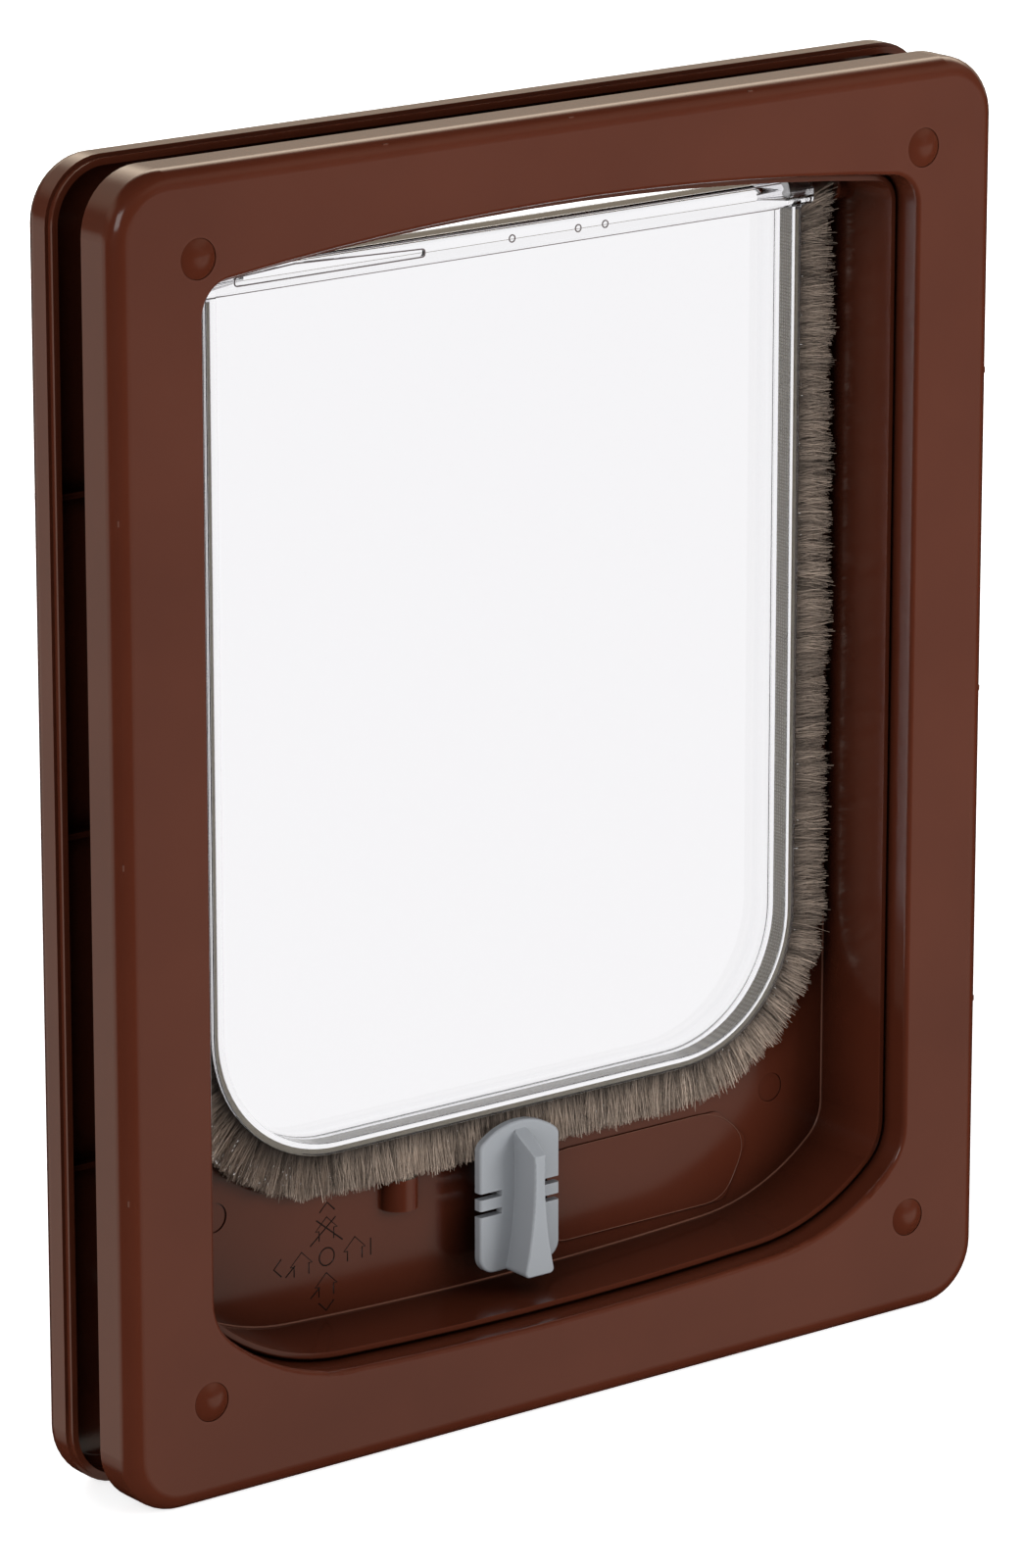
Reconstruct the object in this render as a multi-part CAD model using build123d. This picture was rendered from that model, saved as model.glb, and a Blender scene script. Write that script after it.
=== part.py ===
"""Dog door: two trim frames that clamp a door panel, a clear flap with a brush seal, and a turn lock.

Millimetres. X runs to the right as seen from indoors, Y runs outdoors, Z is up.
Depths are measured from the front (indoor) face backwards, and y_at() turns a depth into Y.
"""

import os

from build123d import *

# overall sizes
FRAME_W = 291.0
FRAME_H = 356.0
CORNER_R = 17.0
EDGE_R = 5.0
WALL = 2.6
FRONT_DEPTH = 14.0
PANEL_GAP = 14.0
REAR_DEPTH = 12.0
TOTAL_DEPTH = FRONT_DEPTH + PANEL_GAP + REAR_DEPTH
CAP_PROUD = 1.5
ORIGIN_DEPTH = (TOTAL_DEPTH - CAP_PROUD) / 2

# clearances
TUNNEL_FIT = 0.6
BODY_GAP = 0.5
RUN_FIT = 0.05
SEAT_FIT = 0.1

# trim borders, and the passage outline that they leave on the front face
SIDE_BORDER = 27.5
TOP_BORDER = 23.0
BOTTOM_BORDER = 25.4
CROWN_RISE = 7.8
FLOOR_END_INSET = 46.0
FLOOR_END_RISE = 1.9
CORNER_RISE = 23.6
PASS_TOP_R = 9.0
PASS_CORNER_R = 16.0
PASS_EDGE_R = 1.4
PASS_HALF_W = FRAME_W / 2 - SIDE_BORDER
PASS_FLOOR_Z = BOTTOM_BORDER
PASS_CORNER_Z = PASS_FLOOR_Z + CORNER_RISE
PASS_CROWN_Z = FRAME_H - TOP_BORDER
PASS_SHOULDER_Z = PASS_CROWN_Z - CROWN_RISE
PASS_FLOOR_END = (PASS_HALF_W - FLOOR_END_INSET, PASS_FLOOR_Z + FLOOR_END_RISE)
COLLAR_WALL = 2.2
COLLAR_INSET = 1.5

# tunnel of the rear frame, which slides into the front frame's collar
TUNNEL_WALL = 2.0
TUNNEL_LAP = 6.0
TUNNEL_START = FRONT_DEPTH - TUNNEL_LAP
TUNNEL_RIM_R = 0.8
TUNNEL_HALF_W = PASS_HALF_W - TUNNEL_FIT - TUNNEL_WALL

# rear frame rim: an outer skirt and a lip set in from it that stands further forward
REAR_LIP_START = FRONT_DEPTH + PANEL_GAP
REAR_LIP_STEP = 2.0
REAR_SKIRT_START = REAR_LIP_START + REAR_LIP_STEP
REAR_LIP_INSET = 0.9
REAR_FACE_T = 2.5

# stiffening ribs inside both frames
RIB_T = 1.6
RIB_INSET = 5.0
RIB_PITCH_X = 60.0
RIB_PITCH_Z = 90.0

# sill plate below and beside the flap
SILL_T = 3.0
SILL_RECESS = 4.0
SILL_START = TOTAL_DEPTH - SILL_RECESS - SILL_T
SILL_H = 41.6
SILL_SIDE = 6.9
SILL_Z = PASS_FLOOR_Z + SILL_H
SILL_HALF_W = TUNNEL_HALF_W - SILL_SIDE
SILL_CORNER_R = 48.0
SILL_EDGE_R = 2.2
PAD_T = 0.5
PAD_CORNER_R = 4.0
PAD_POINTS = ((17, -7), (77, -7), (88, -17), (80, -33.5), (17, -33.5))
DIMPLE_R = 4.2
DIMPLE_T = 0.4
DIMPLES = ((-95.0, -2.0), (96.5, -4.0))

# fixing screws and their caps
SCREW_INSET_X = 25.9
SCREW_INSET_LOW = 28.6
SCREW_INSET_HIGH = 23.3
SCREW_R = 2.0
SCREW_HEAD_R = 3.7
SCREW_HEAD_T = 2.4
SCREW_SEAT = 7.6
SCREW_END_WALL = 1.5
SCREW_TIP = TOTAL_DEPTH - REAR_FACE_T - SCREW_END_WALL
BOSS_R = 7.2
REAR_BOSS_R = 5.0
CAP_R = 5.3
CAP_SEAT = 2.4
CAP_SUNK = 0.2

# flap: panel, raised rim with a groove round the outside
FLAP_T = 10.5
FLAP_RECESS = 3.5
FLAP_GAP_SIDE = 9.5
FLAP_GAP_LOW = 10.5
FLAP_HALF_W = SILL_HALF_W - FLAP_GAP_SIDE
FLAP_BOTTOM_Z = SILL_Z + FLAP_GAP_LOW
FLAP_BACK = TOTAL_DEPTH - FLAP_RECESS
FLAP_FRONT = FLAP_BACK - FLAP_T
FLAP_CORNER_R = 40.0
PANEL_T = 3.0
RIM_W = 3.4
RIM_LIP_T = 1.4
RIM_EDGE_R = 0.6
RIM_FOOT_R = 1.0
GROOVE_DEPTH = 1.8
GROOVE_BACK_T = 1.1
GROOVE_BACK = FLAP_BACK - PANEL_T - GROOVE_BACK_T

# hinge bar on top of the flap, its pins, and the sockets that hold them
BAR_H = 7.4
BAR_T = 10.0
BAR_OVERHANG = 4.0
BAR_EDGE_R = 2.0
BAR_HALF_W = FLAP_HALF_W + BAR_OVERHANG
HINGE_DROP = 6.5
HINGE_Z = PASS_SHOULDER_Z - HINGE_DROP
HINGE_DEPTH = FLAP_FRONT + BAR_T / 2
BAR_Z = (HINGE_Z - BAR_H / 2, HINGE_Z + BAR_H / 2)
PANEL_TOP_DROP = 1.7
PIN_R = 2.2
PIN_GRIP = 7.0
PIN_SEAT = 3.6
BORE_TAPER = 10.4
BORE_TIP_R = 0.9
SOCKET_RIM = 2.6
SOCKET_EDGE_R = 0.8
RECESS_T = 1.2
RECESS_POINTS = ((-90, -1.3), (-29, -1.2), (-29, 0.9), (-71, 2.3), (-90, 1.0))
RECESS_CORNER_R = 0.9

# brush strip in the flap's groove
BACKING_T = 1.4
PILE_OVERLAP = 3.0
PILE_LEN = FLAP_GAP_SIDE + PILE_OVERLAP
PILE_INSET = 0.35
PILE_BOTTOM_Z = FLAP_BOTTOM_Z - PILE_LEN
STRIP_TOP_GAP = 0.6
STRIP_TOP_Z = BAR_Z[0] - STRIP_TOP_GAP
SOCKET_HALF_W = FLAP_HALF_W + PILE_LEN + BODY_GAP

# peg on the sill plate, just under the pile
PEG_X = -34.0
PEG_R = 5.5
PEG_H = 8.9
PEG_TOP_Z = PILE_BOTTOM_Z - 0.6

# turn lock: knob in front of the flap's edge, cam behind it
HUB_R = 6.0
HUB_GAP = 1.0
LOCK_Z = PILE_BOTTOM_Z - HUB_R - HUB_GAP
LOCK_TO_FLAP = FLAP_BOTTOM_Z - LOCK_Z
KNOB_FREE_GAP = 1.9
KNOB_REACH = 4.8
KNOB_TOP = LOCK_TO_FLAP - KNOB_FREE_GAP
KNOB_BOTTOM = LOCK_TO_FLAP + KNOB_REACH
KNOB_HALF_W = 13.6
KNOB_TOP_R = 20.0
KNOB_T = 2.5
KNOB_GAP = 0.7
KNOB_FRONT = FLAP_FRONT - KNOB_GAP - KNOB_T
KNOB_SLOT_DROPS = (1.8, 6.8)
KNOB_SLOT_H = 1.8
KNOB_SLOT_X = 6.2
FIN_H = 9.0
FIN_FRONT = KNOB_FRONT - FIN_H
FIN_HALF_W = (2.5, 1.9, 5.2)
FIN_RISES = (15.4, 1.0, -24.6)
FIN_SLOPE_RISES = (8.5, 16.0)
FIN_EDGE_R = 0.6
SPINDLE_R = 3.4
SPINDLE_FLAT = 2.4
WASHER_R = 6.5
WASHER_T = 0.5
CAM_GAP = 0.3
CAM_T = 2.0
CAM_REACH = 3.3
CAM_ARM = LOCK_TO_FLAP + CAM_REACH
CAM_LOW = 13.6
CAM_ARM_W = 19.2
CAM_FRONT = SILL_START + SILL_T + SEAT_FIT + WASHER_T + CAM_GAP
SPINDLE_END = CAM_FRONT + CAM_T - 0.3
LOCK_SCREW_R = 1.25
LOCK_SCREW_HEAD_R = 3.0
LOCK_SCREW_HEAD_T = 1.1
LOCK_SCREW_DEPTH = 9.0


def y_at(depth):
    """Y of a depth behind the front face."""
    return depth - ORIGIN_DEPTH


def slab(face, near, far):
    """Solid of a front view outline between two depths."""
    plane = Plane((0, y_at(far), 0), x_dir=(1, 0, 0), z_dir=(0, -1, 0))
    return extrude(plane * face, far - near)


def rod(x, z, radius, near, far):
    """Round bar along the depth."""
    return slab(Pos(x, z) * Circle(radius), near, far)


def block(x, depth, z):
    """Box from three (low, high) ranges: across, depth and height."""
    size = (x[1] - x[0], depth[1] - depth[0], z[1] - z[0])
    return Pos((x[0] + x[1]) / 2, y_at((depth[0] + depth[1]) / 2), (z[0] + z[1]) / 2) * Box(*size)


def edges_at(solid, depth):
    """Edges of a solid that lie wholly at one depth."""
    y = y_at(depth)
    return solid.edges().filter_by_position(Axis.Y, y - 0.001, y + 0.001)


def inside_passage(point):
    """Whether a point lies on or within the box round the passage."""
    return abs(point.X) < PASS_HALF_W + 0.01 and PASS_FLOOR_Z - 0.01 < point.Z < PASS_CROWN_Z + 0.01


def frame_outline(inset=0.0):
    """Rounded rectangle of the frames, drawn smaller by an inset."""
    width = FRAME_W - 2 * inset
    height = FRAME_H - 2 * inset
    return Pos(0, FRAME_H / 2) * RectangleRounded(width, height, CORNER_R - inset)


def passage_outline(inset=0.0):
    """Arched outline of the passage, drawn smaller by an inset (larger if negative)."""
    w = PASS_HALF_W
    fx, fz = PASS_FLOOR_END
    floor = ThreePointArc((-fx, fz), (0, PASS_FLOOR_Z), (fx, fz))
    right_low = TangentArc((fx, fz), (w, PASS_CORNER_Z), tangent=floor % 1)
    right = Line((w, PASS_CORNER_Z), (w, PASS_SHOULDER_Z))
    top = ThreePointArc((w, PASS_SHOULDER_Z), (0, PASS_CROWN_Z), (-w, PASS_SHOULDER_Z))
    left = Line((-w, PASS_SHOULDER_Z), (-w, PASS_CORNER_Z))
    left_low = mirror(right_low, about=Plane.YZ)
    face = make_face([floor, right_low, right, top, left, left_low])
    corners = face.vertices().filter_by(lambda v: abs(v.X) > w - 0.01)
    face = fillet(corners.filter_by(lambda v: v.Y > FRAME_H / 2), PASS_TOP_R)
    corners = face.vertices().filter_by(lambda v: abs(v.X) > w - 0.01 and v.Y < PASS_CORNER_Z + 0.1)
    face = fillet(corners, PASS_CORNER_R)
    return offset(face, -inset) if inset else face


def flap_outline(grow=0.0):
    """Outline of the flap with its two round lower corners, drawn larger by an amount."""
    half = FLAP_HALF_W + grow
    low = FLAP_BOTTOM_Z - grow
    face = Pos(0, (low + HINGE_Z) / 2) * Rectangle(2 * half, HINGE_Z - low)
    return fillet(face.vertices().sort_by(Axis.Y)[:2], FLAP_CORNER_R + grow)


def flap_band(outer, inner):
    """Band that follows the flap's sides and bottom, between two growths of its outline."""
    top_edge = Pos(0, HINGE_Z) * Rectangle(2 * (FLAP_HALF_W + inner), 1)
    return flap_outline(outer) - flap_outline(inner) - top_edge


def screw_places():
    """Front view positions of the four fixing screws."""
    x = FRAME_W / 2 - SCREW_INSET_X
    return [(side * x, z) for z in (SCREW_INSET_LOW, FRAME_H - SCREW_INSET_HIGH) for side in (-1, 1)]


def rib_places():
    """Ribs as (across, height) ranges in the border between the skirt and the passage."""
    lap = TUNNEL_FIT + TUNNEL_WALL / 2
    edge = FRAME_W / 2 - WALL / 2
    spots = []
    for step in (-1, 0, 1):
        z = FRAME_H / 2 + step * RIB_PITCH_Z
        x = step * RIB_PITCH_X
        height = (z - RIB_T / 2, z + RIB_T / 2)
        across = (x - RIB_T / 2, x + RIB_T / 2)
        spots.append(((-edge, lap - PASS_HALF_W), height))
        spots.append(((PASS_HALF_W - lap, edge), height))
        spots.append((across, (WALL / 2, PASS_FLOOR_Z + lap)))
        spots.append((across, (PASS_CROWN_Z - CROWN_RISE, FRAME_H - WALL / 2)))
    return spots


def front_frame():
    """Indoor frame: a hollow trim with a collar round the passage and four screw bosses."""
    body = slab(frame_outline(), 0, FRONT_DEPTH)
    body = fillet(edges_at(body, 0), EDGE_R)
    hollow = slab(frame_outline(WALL), WALL, FRONT_DEPTH)
    hollow = fillet(edges_at(hollow, WALL), EDGE_R - WALL)
    body -= hollow
    body += slab(passage_outline(-COLLAR_WALL), WALL / 2, FRONT_DEPTH - COLLAR_INSET)
    for x, z in screw_places():
        body += rod(x, z, BOSS_R, WALL / 2, FRONT_DEPTH - BODY_GAP)
    for across, height in rib_places():
        body += block(across, (WALL / 2, FRONT_DEPTH - RIB_INSET), height)
    body -= slab(passage_outline(), -1, FRONT_DEPTH + 1)
    front_rim = [e for e in edges_at(body, 0) if inside_passage(e.center())]
    body = fillet(front_rim, PASS_EDGE_R)
    for x, z in screw_places():
        body -= rod(x, z, CAP_R + SEAT_FIT, -1, CAP_SEAT)
        body -= rod(x, z, SCREW_HEAD_R + BODY_GAP, CAP_SEAT, SCREW_SEAT)
        body -= rod(x, z, SCREW_R + BODY_GAP / 2, SCREW_SEAT, FRONT_DEPTH)
    return body


def sill_plate():
    """Plate across the tunnel below and beside the flap, with its raised and sunk details."""
    back = SILL_START + SILL_T
    clear = Pos(0, SILL_Z + FRAME_H / 2) * Rectangle(2 * SILL_HALF_W, FRAME_H)
    clear = fillet(clear.vertices().sort_by(Axis.Y)[:2], SILL_CORNER_R)
    plate = slab(Pos(0, FRAME_H / 2) * Rectangle(FRAME_W, FRAME_H) - clear, SILL_START, back)
    rim = [e for e in edges_at(plate, SILL_START) if abs(e.center().X) < SILL_HALF_W + 0.01]
    plate = fillet([e for e in rim if SILL_Z - 0.01 < e.center().Z < FRAME_H - 1], SILL_EDGE_R)
    plate &= slab(passage_outline(TUNNEL_FIT + TUNNEL_WALL / 2), SILL_START, back)
    pad = make_face(Polyline(*[(x, SILL_Z + z) for x, z in PAD_POINTS], close=True))
    plate += slab(fillet(pad.vertices(), PAD_CORNER_R), SILL_START - PAD_T, back - SILL_T / 2)
    peg = Cylinder(PEG_R, PEG_H, align=(Align.CENTER, Align.CENTER, Align.MAX))
    peg = Pos(PEG_X, y_at(SILL_START), PEG_TOP_Z) * peg
    plate += peg - block((-FRAME_W, FRAME_W), (back - SILL_T / 2, TOTAL_DEPTH), (0, FRAME_H))
    for x, z in DIMPLES:
        plate -= rod(x, SILL_Z + z, DIMPLE_R, SILL_START - 1, SILL_START + DIMPLE_T)
    return plate - rod(0, LOCK_Z, SPINDLE_R + RUN_FIT, SILL_START - 1, back + 1)


def hinge_rod(side, radius, near, far):
    """Round bar on the hinge axis between two distances from the middle, on one side."""
    bar = Rot(0, 90, 0) * Cylinder(radius, far - near)
    return Pos(side * (near + far) / 2, y_at(HINGE_DEPTH), HINGE_Z) * bar


def hinge_socket(side):
    """Round boss on the tunnel's side wall that holds a hinge pin, just outside the pile."""
    boss = hinge_rod(side, PIN_R + SOCKET_RIM, SOCKET_HALF_W, TUNNEL_HALF_W + TUNNEL_WALL / 2)
    return fillet(boss.edges().filter_by(lambda e: abs(e.center().X) < TUNNEL_HALF_W), SOCKET_EDGE_R)


def rear_frame():
    """Outdoor frame in one moulding with the tunnel, the sill plate and the hinge sockets."""
    body = slab(frame_outline(), REAR_SKIRT_START, TOTAL_DEPTH)
    body = fillet(edges_at(body, TOTAL_DEPTH), EDGE_R)
    hollow_end = TOTAL_DEPTH - REAR_FACE_T
    hollow = slab(frame_outline(WALL), REAR_SKIRT_START, hollow_end)
    body -= fillet(edges_at(hollow, hollow_end), EDGE_R - REAR_FACE_T)
    body += slab(frame_outline(REAR_LIP_INSET) - frame_outline(WALL), REAR_LIP_START, hollow_end - EDGE_R)
    for x, z in screw_places():
        body += rod(x, z, REAR_BOSS_R, REAR_LIP_START + BODY_GAP, hollow_end + 1)
    for across, height in rib_places():
        body += block(across, (REAR_LIP_START + RIB_INSET, hollow_end + 1), height)
    tunnel = slab(passage_outline(TUNNEL_FIT), TUNNEL_START, TOTAL_DEPTH)
    body += fillet(edges_at(tunnel, TUNNEL_START), TUNNEL_RIM_R)
    body -= slab(passage_outline(TUNNEL_FIT + TUNNEL_WALL), TUNNEL_START - 1, TOTAL_DEPTH + 1)
    body += sill_plate()
    for side in (-1, 1):
        body += hinge_socket(side)
        far = SOCKET_HALF_W + PIN_SEAT + SEAT_FIT
        body -= hinge_rod(side, PIN_R + SEAT_FIT, BAR_HALF_W, far)
    for x, z in screw_places():
        body -= rod(x, z, SCREW_R, REAR_LIP_START, SCREW_TIP + SEAT_FIT)
    return body


def screw_cap(x, z):
    """Domed cap pushed into the recess over a screw head."""
    cap = rod(x, z, CAP_R, CAP_SUNK, CAP_SEAT)
    dome = CAP_PROUD + CAP_SUNK
    ball_r = (CAP_R**2 + dome**2) / (2 * dome)
    ball = Pos(x, y_at(ball_r - CAP_PROUD), z) * Sphere(ball_r)
    cap += ball & rod(x, z, CAP_R, -CAP_PROUD - 1, CAP_SUNK)
    stem = rod(x, z, SCREW_HEAD_R, CAP_SEAT, SCREW_SEAT - SCREW_HEAD_T)
    return cap + stem


def fixing_screw(x, z):
    """Pan head screw from the front frame into the rear frame's boss."""
    head = rod(x, z, SCREW_HEAD_R, SCREW_SEAT - SCREW_HEAD_T, SCREW_SEAT)
    return head + rod(x, z, SCREW_R, SCREW_SEAT, SCREW_TIP)


def flap_panel():
    """Clear flap: panel at the back, raised rim, groove for the brush strip, hinge bar with bored ends."""
    panel = slab(flap_outline(), FLAP_BACK - PANEL_T, FLAP_BACK)
    panel -= block((-FRAME_W, FRAME_W), (0, TOTAL_DEPTH), (HINGE_Z - PANEL_TOP_DROP, FRAME_H))
    panel += slab(flap_band(0, -RIM_W), GROOVE_BACK, FLAP_BACK - PANEL_T)
    panel += slab(flap_band(-GROOVE_DEPTH, -RIM_W), FLAP_FRONT + RIM_LIP_T / 2, GROOVE_BACK)
    foot = [e for e in edges_at(panel, FLAP_BACK - PANEL_T) if e.center().Z < BAR_Z[0]]
    panel = fillet(foot, RIM_FOOT_R)
    lip = slab(flap_band(0, -RIM_W), FLAP_FRONT, FLAP_FRONT + RIM_LIP_T)
    lip_edges = [e for e in edges_at(lip, FLAP_FRONT) if e.center().Z < BAR_Z[0]]
    panel += fillet(lip_edges, RIM_EDGE_R)
    bar = block((-BAR_HALF_W, BAR_HALF_W), (FLAP_FRONT, FLAP_FRONT + BAR_T), BAR_Z)
    bar = fillet(bar.edges().filter_by(Axis.X), BAR_EDGE_R)
    recess = make_face(Polyline(*[(x, HINGE_Z + z) for x, z in RECESS_POINTS], close=True))
    recess = fillet(recess.vertices().filter_by(lambda v: v.Y < HINGE_Z + RECESS_T), RECESS_CORNER_R)
    panel += bar - slab(recess, FLAP_FRONT - 1, FLAP_FRONT + RECESS_T)
    for side in (-1, 1):
        mouth = BAR_HALF_W - PIN_GRIP - BODY_GAP
        panel -= hinge_rod(side, PIN_R + RUN_FIT, mouth, BAR_HALF_W + 1)
        taper = Rot(0, -90 * side, 0) * Cone(PIN_R, BORE_TIP_R, BORE_TAPER)
        panel -= Pos(side * (mouth - BORE_TAPER / 2), y_at(HINGE_DEPTH), HINGE_Z) * taper
    return panel


def hinge_pin(side):
    """Pin that the flap hangs on, held in the rear frame's socket."""
    return hinge_rod(side, PIN_R, BAR_HALF_W - PIN_GRIP, SOCKET_HALF_W + PIN_SEAT)


def strip_band(outer, inner):
    """Band of the brush strip between two growths of the flap's outline, cut off under the hinge bar."""
    above = Pos(0, (STRIP_TOP_Z + FRAME_H) / 2) * Rectangle(FRAME_W, FRAME_H - STRIP_TOP_Z)
    return flap_band(outer, inner) - above


def pile_backing():
    """Backing tape of the brush strip, seated in the flap's groove."""
    band = strip_band(-GROOVE_DEPTH + BACKING_T, -GROOVE_DEPTH)
    return slab(band, FLAP_FRONT + RIM_LIP_T + SEAT_FIT, GROOVE_BACK - SEAT_FIT)


def brush_pile():
    """Fibre pile of the brush strip, standing out of the groove all round the flap."""
    band = strip_band(PILE_LEN, -GROOVE_DEPTH + BACKING_T)
    return slab(band, FLAP_FRONT + RIM_LIP_T + PILE_INSET, GROOVE_BACK - PILE_INSET)


def knob_outline():
    """Front view of the knob's plate: low arched end up, long end down."""
    w = KNOB_HALF_W
    low = LOCK_Z - KNOB_BOTTOM
    high = LOCK_Z + KNOB_TOP
    shoulder = high - KNOB_TOP_R + (KNOB_TOP_R**2 - w**2) ** 0.5
    top = ThreePointArc((w, shoulder), (0, high), (-w, shoulder))
    sides = Polyline((-w, shoulder), (-w, low), (w, low), (w, shoulder))
    face = make_face([top, sides])
    corners = face.vertices().sort_by(Axis.Y)
    face = fillet(corners[:2], 5.0)
    return fillet(face.vertices().filter_by(lambda v: abs(v.Y - shoulder) < 0.01), 3.0)


def fin_outline():
    """Front view of the finger grip: slim waist, flared lower end."""
    top, waist, foot = FIN_HALF_W
    high, middle, low = [LOCK_Z + rise for rise in FIN_RISES]
    right = ThreePointArc((top, high), (waist, middle), (foot, low))
    left = mirror(right, about=Plane.YZ)
    face = make_face([right, Line((foot, low), (-foot, low)), left, Line((-top, high), (top, high))])
    return fillet(face.vertices(), 1.4)


def lock_knob():
    """Turn knob: plate with spring slots, finger grip, hub and spindle."""
    plate = slab(knob_outline(), KNOB_FRONT, KNOB_FRONT + KNOB_T)
    plate = fillet(edges_at(plate, KNOB_FRONT), 0.8)
    for drop in KNOB_SLOT_DROPS:
        heights = (LOCK_Z - drop - KNOB_SLOT_H / 2, LOCK_Z - drop + KNOB_SLOT_H / 2)
        for side in (-1, 1):
            across = sorted((side * KNOB_SLOT_X, side * (KNOB_HALF_W + 1)))
            plate -= block(across, (KNOB_FRONT - 1, KNOB_FRONT + KNOB_T + 1), heights)
    fin = slab(fin_outline(), FIN_FRONT, KNOB_FRONT + 1)
    fin = fillet(edges_at(fin, FIN_FRONT), FIN_EDGE_R)
    low, high = [LOCK_Z + rise for rise in FIN_SLOPE_RISES]
    near, far = y_at(FIN_FRONT - 2), y_at(KNOB_FRONT + 1)
    slope = [(near, low), (far, high), (far, high + KNOB_TOP), (near, high + KNOB_TOP)]
    fin -= extrude(Plane.YZ * make_face(Polyline(*slope, close=True)), 20, both=True)
    knob = plate + fin
    knob += rod(0, LOCK_Z, HUB_R, KNOB_FRONT + KNOB_T - 0.5, SILL_START - BODY_GAP)
    spindle = rod(0, LOCK_Z, SPINDLE_R, SILL_START - BODY_GAP - 1, CAM_FRONT)
    spindle += rod(0, LOCK_Z, SPINDLE_R, CAM_FRONT, SPINDLE_END) & spindle_flats(0)
    knob += spindle
    return knob - rod(0, LOCK_Z, LOCK_SCREW_R, SPINDLE_END - LOCK_SCREW_DEPTH, SPINDLE_END)


def spindle_flats(grow):
    """Slab between the two flats of the spindle's end."""
    half = SPINDLE_FLAT + grow
    return block((-half, half), (CAM_FRONT - 1, TOTAL_DEPTH), (LOCK_Z - 10, LOCK_Z + 10))


def lock_cam():
    """Plate on the outdoor end of the spindle, with one arm down and one to the side."""
    z = LOCK_Z
    down = Pos(0, z - CAM_ARM / 2) * Rectangle(CAM_ARM_W, CAM_ARM)
    aside = Pos(-CAM_ARM / 2, z) * Rectangle(CAM_ARM, CAM_ARM_W)
    face = Pos(0, z) * Circle(CAM_LOW) + down + aside
    outer = face.vertices().filter_by(lambda v: (v.X**2 + (v.Y - z) ** 2) ** 0.5 > CAM_ARM)
    face = fillet(outer, 4.0)
    cam = slab(face, CAM_FRONT, CAM_FRONT + CAM_T)
    hole = rod(0, z, SPINDLE_R + RUN_FIT, CAM_FRONT - 1, TOTAL_DEPTH) & spindle_flats(RUN_FIT)
    return cam - hole


def lock_washer():
    """Thin washer between the sill plate and the cam."""
    near = SILL_START + SILL_T + SEAT_FIT
    washer = rod(0, LOCK_Z, WASHER_R, near, near + WASHER_T)
    return washer - rod(0, LOCK_Z, SPINDLE_R + SEAT_FIT, near - 1, near + WASHER_T + 1)


def lock_screw():
    """Screw that holds the cam on the spindle."""
    head_near = CAM_FRONT + CAM_T
    screw = rod(0, LOCK_Z, LOCK_SCREW_HEAD_R, head_near, head_near + LOCK_SCREW_HEAD_T)
    return screw + rod(0, LOCK_Z, LOCK_SCREW_R, SPINDLE_END - LOCK_SCREW_DEPTH + 0.5, head_near)


CAP_NAMES = ("bottom_left", "bottom_right", "top_left", "top_right")

NODES = {
    "front_frame": front_frame(),
    "rear_frame": rear_frame(),
    "fixing_screws": Compound([fixing_screw(x, z) for x, z in screw_places()]),
    "hinge_pin_left": hinge_pin(-1),
    "hinge_pin_right": hinge_pin(1),
    "flap_panel": flap_panel(),
    "pile_backing": pile_backing(),
    "brush_pile": brush_pile(),
    "lock_knob": lock_knob(),
    "lock_cam": lock_cam(),
    "lock_washer": lock_washer(),
    "lock_screw": lock_screw(),
}
for cap_name, (cap_x, cap_z) in zip(CAP_NAMES, screw_places()):
    NODES[f"screw_cap_{cap_name}"] = screw_cap(cap_x, cap_z)

os.makedirs("parts", exist_ok=True)
for name, solid in NODES.items():
    export_step(solid, f"parts/{name}.step")
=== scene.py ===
"""Looks of a dog door: brown moulded frames, a clear flap with a brush seal, and a grey turn lock."""

import logging
import math
from dataclasses import dataclass
from enum import Enum
from functools import wraps
from typing import Callable, Dict, List, Optional, Sequence, Tuple

import bmesh
import bpy
from mathutils import Matrix, Vector

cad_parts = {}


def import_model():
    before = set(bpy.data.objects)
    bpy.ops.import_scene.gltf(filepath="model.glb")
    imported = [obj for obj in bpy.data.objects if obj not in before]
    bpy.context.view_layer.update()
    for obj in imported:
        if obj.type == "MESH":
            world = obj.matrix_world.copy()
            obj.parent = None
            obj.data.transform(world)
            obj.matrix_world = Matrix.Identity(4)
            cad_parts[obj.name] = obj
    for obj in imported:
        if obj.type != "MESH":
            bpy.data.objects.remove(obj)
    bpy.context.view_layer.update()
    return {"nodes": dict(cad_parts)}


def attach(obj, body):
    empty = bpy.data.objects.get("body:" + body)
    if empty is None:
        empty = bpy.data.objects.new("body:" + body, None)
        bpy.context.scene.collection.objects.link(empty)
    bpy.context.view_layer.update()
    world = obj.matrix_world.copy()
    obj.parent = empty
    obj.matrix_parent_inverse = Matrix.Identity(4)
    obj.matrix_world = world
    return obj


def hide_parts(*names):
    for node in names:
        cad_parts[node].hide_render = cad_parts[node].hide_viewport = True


logging.basicConfig(level=logging.INFO, format="%(message)s")
LOG = logging.getLogger("dog_door")

Colour = Tuple[float, float, float, float]
Point2 = Tuple[float, float]
Point3 = Tuple[float, float, float]
Settings = Dict[str, object]
Socket = bpy.types.NodeSocket
Tree = bpy.types.NodeTree

MM = 0.001
MID_DEPTH = 19.25
PHOTO_H = 1600.0
CURVE_STEPS = 6
WHITE: Colour = (1.0, 1.0, 1.0, 1.0)
BLACK: Colour = (0.0, 0.0, 0.0, 1.0)


def y_at(depth: float) -> float:
    """Y in metres of a depth in millimetres behind the front face."""
    return (depth - MID_DEPTH) * MM


def at(x: float, depth: float, z: float) -> Vector:
    """Point in metres from millimetres across, depth and height."""
    return Vector((x * MM, y_at(depth), z * MM))


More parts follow.
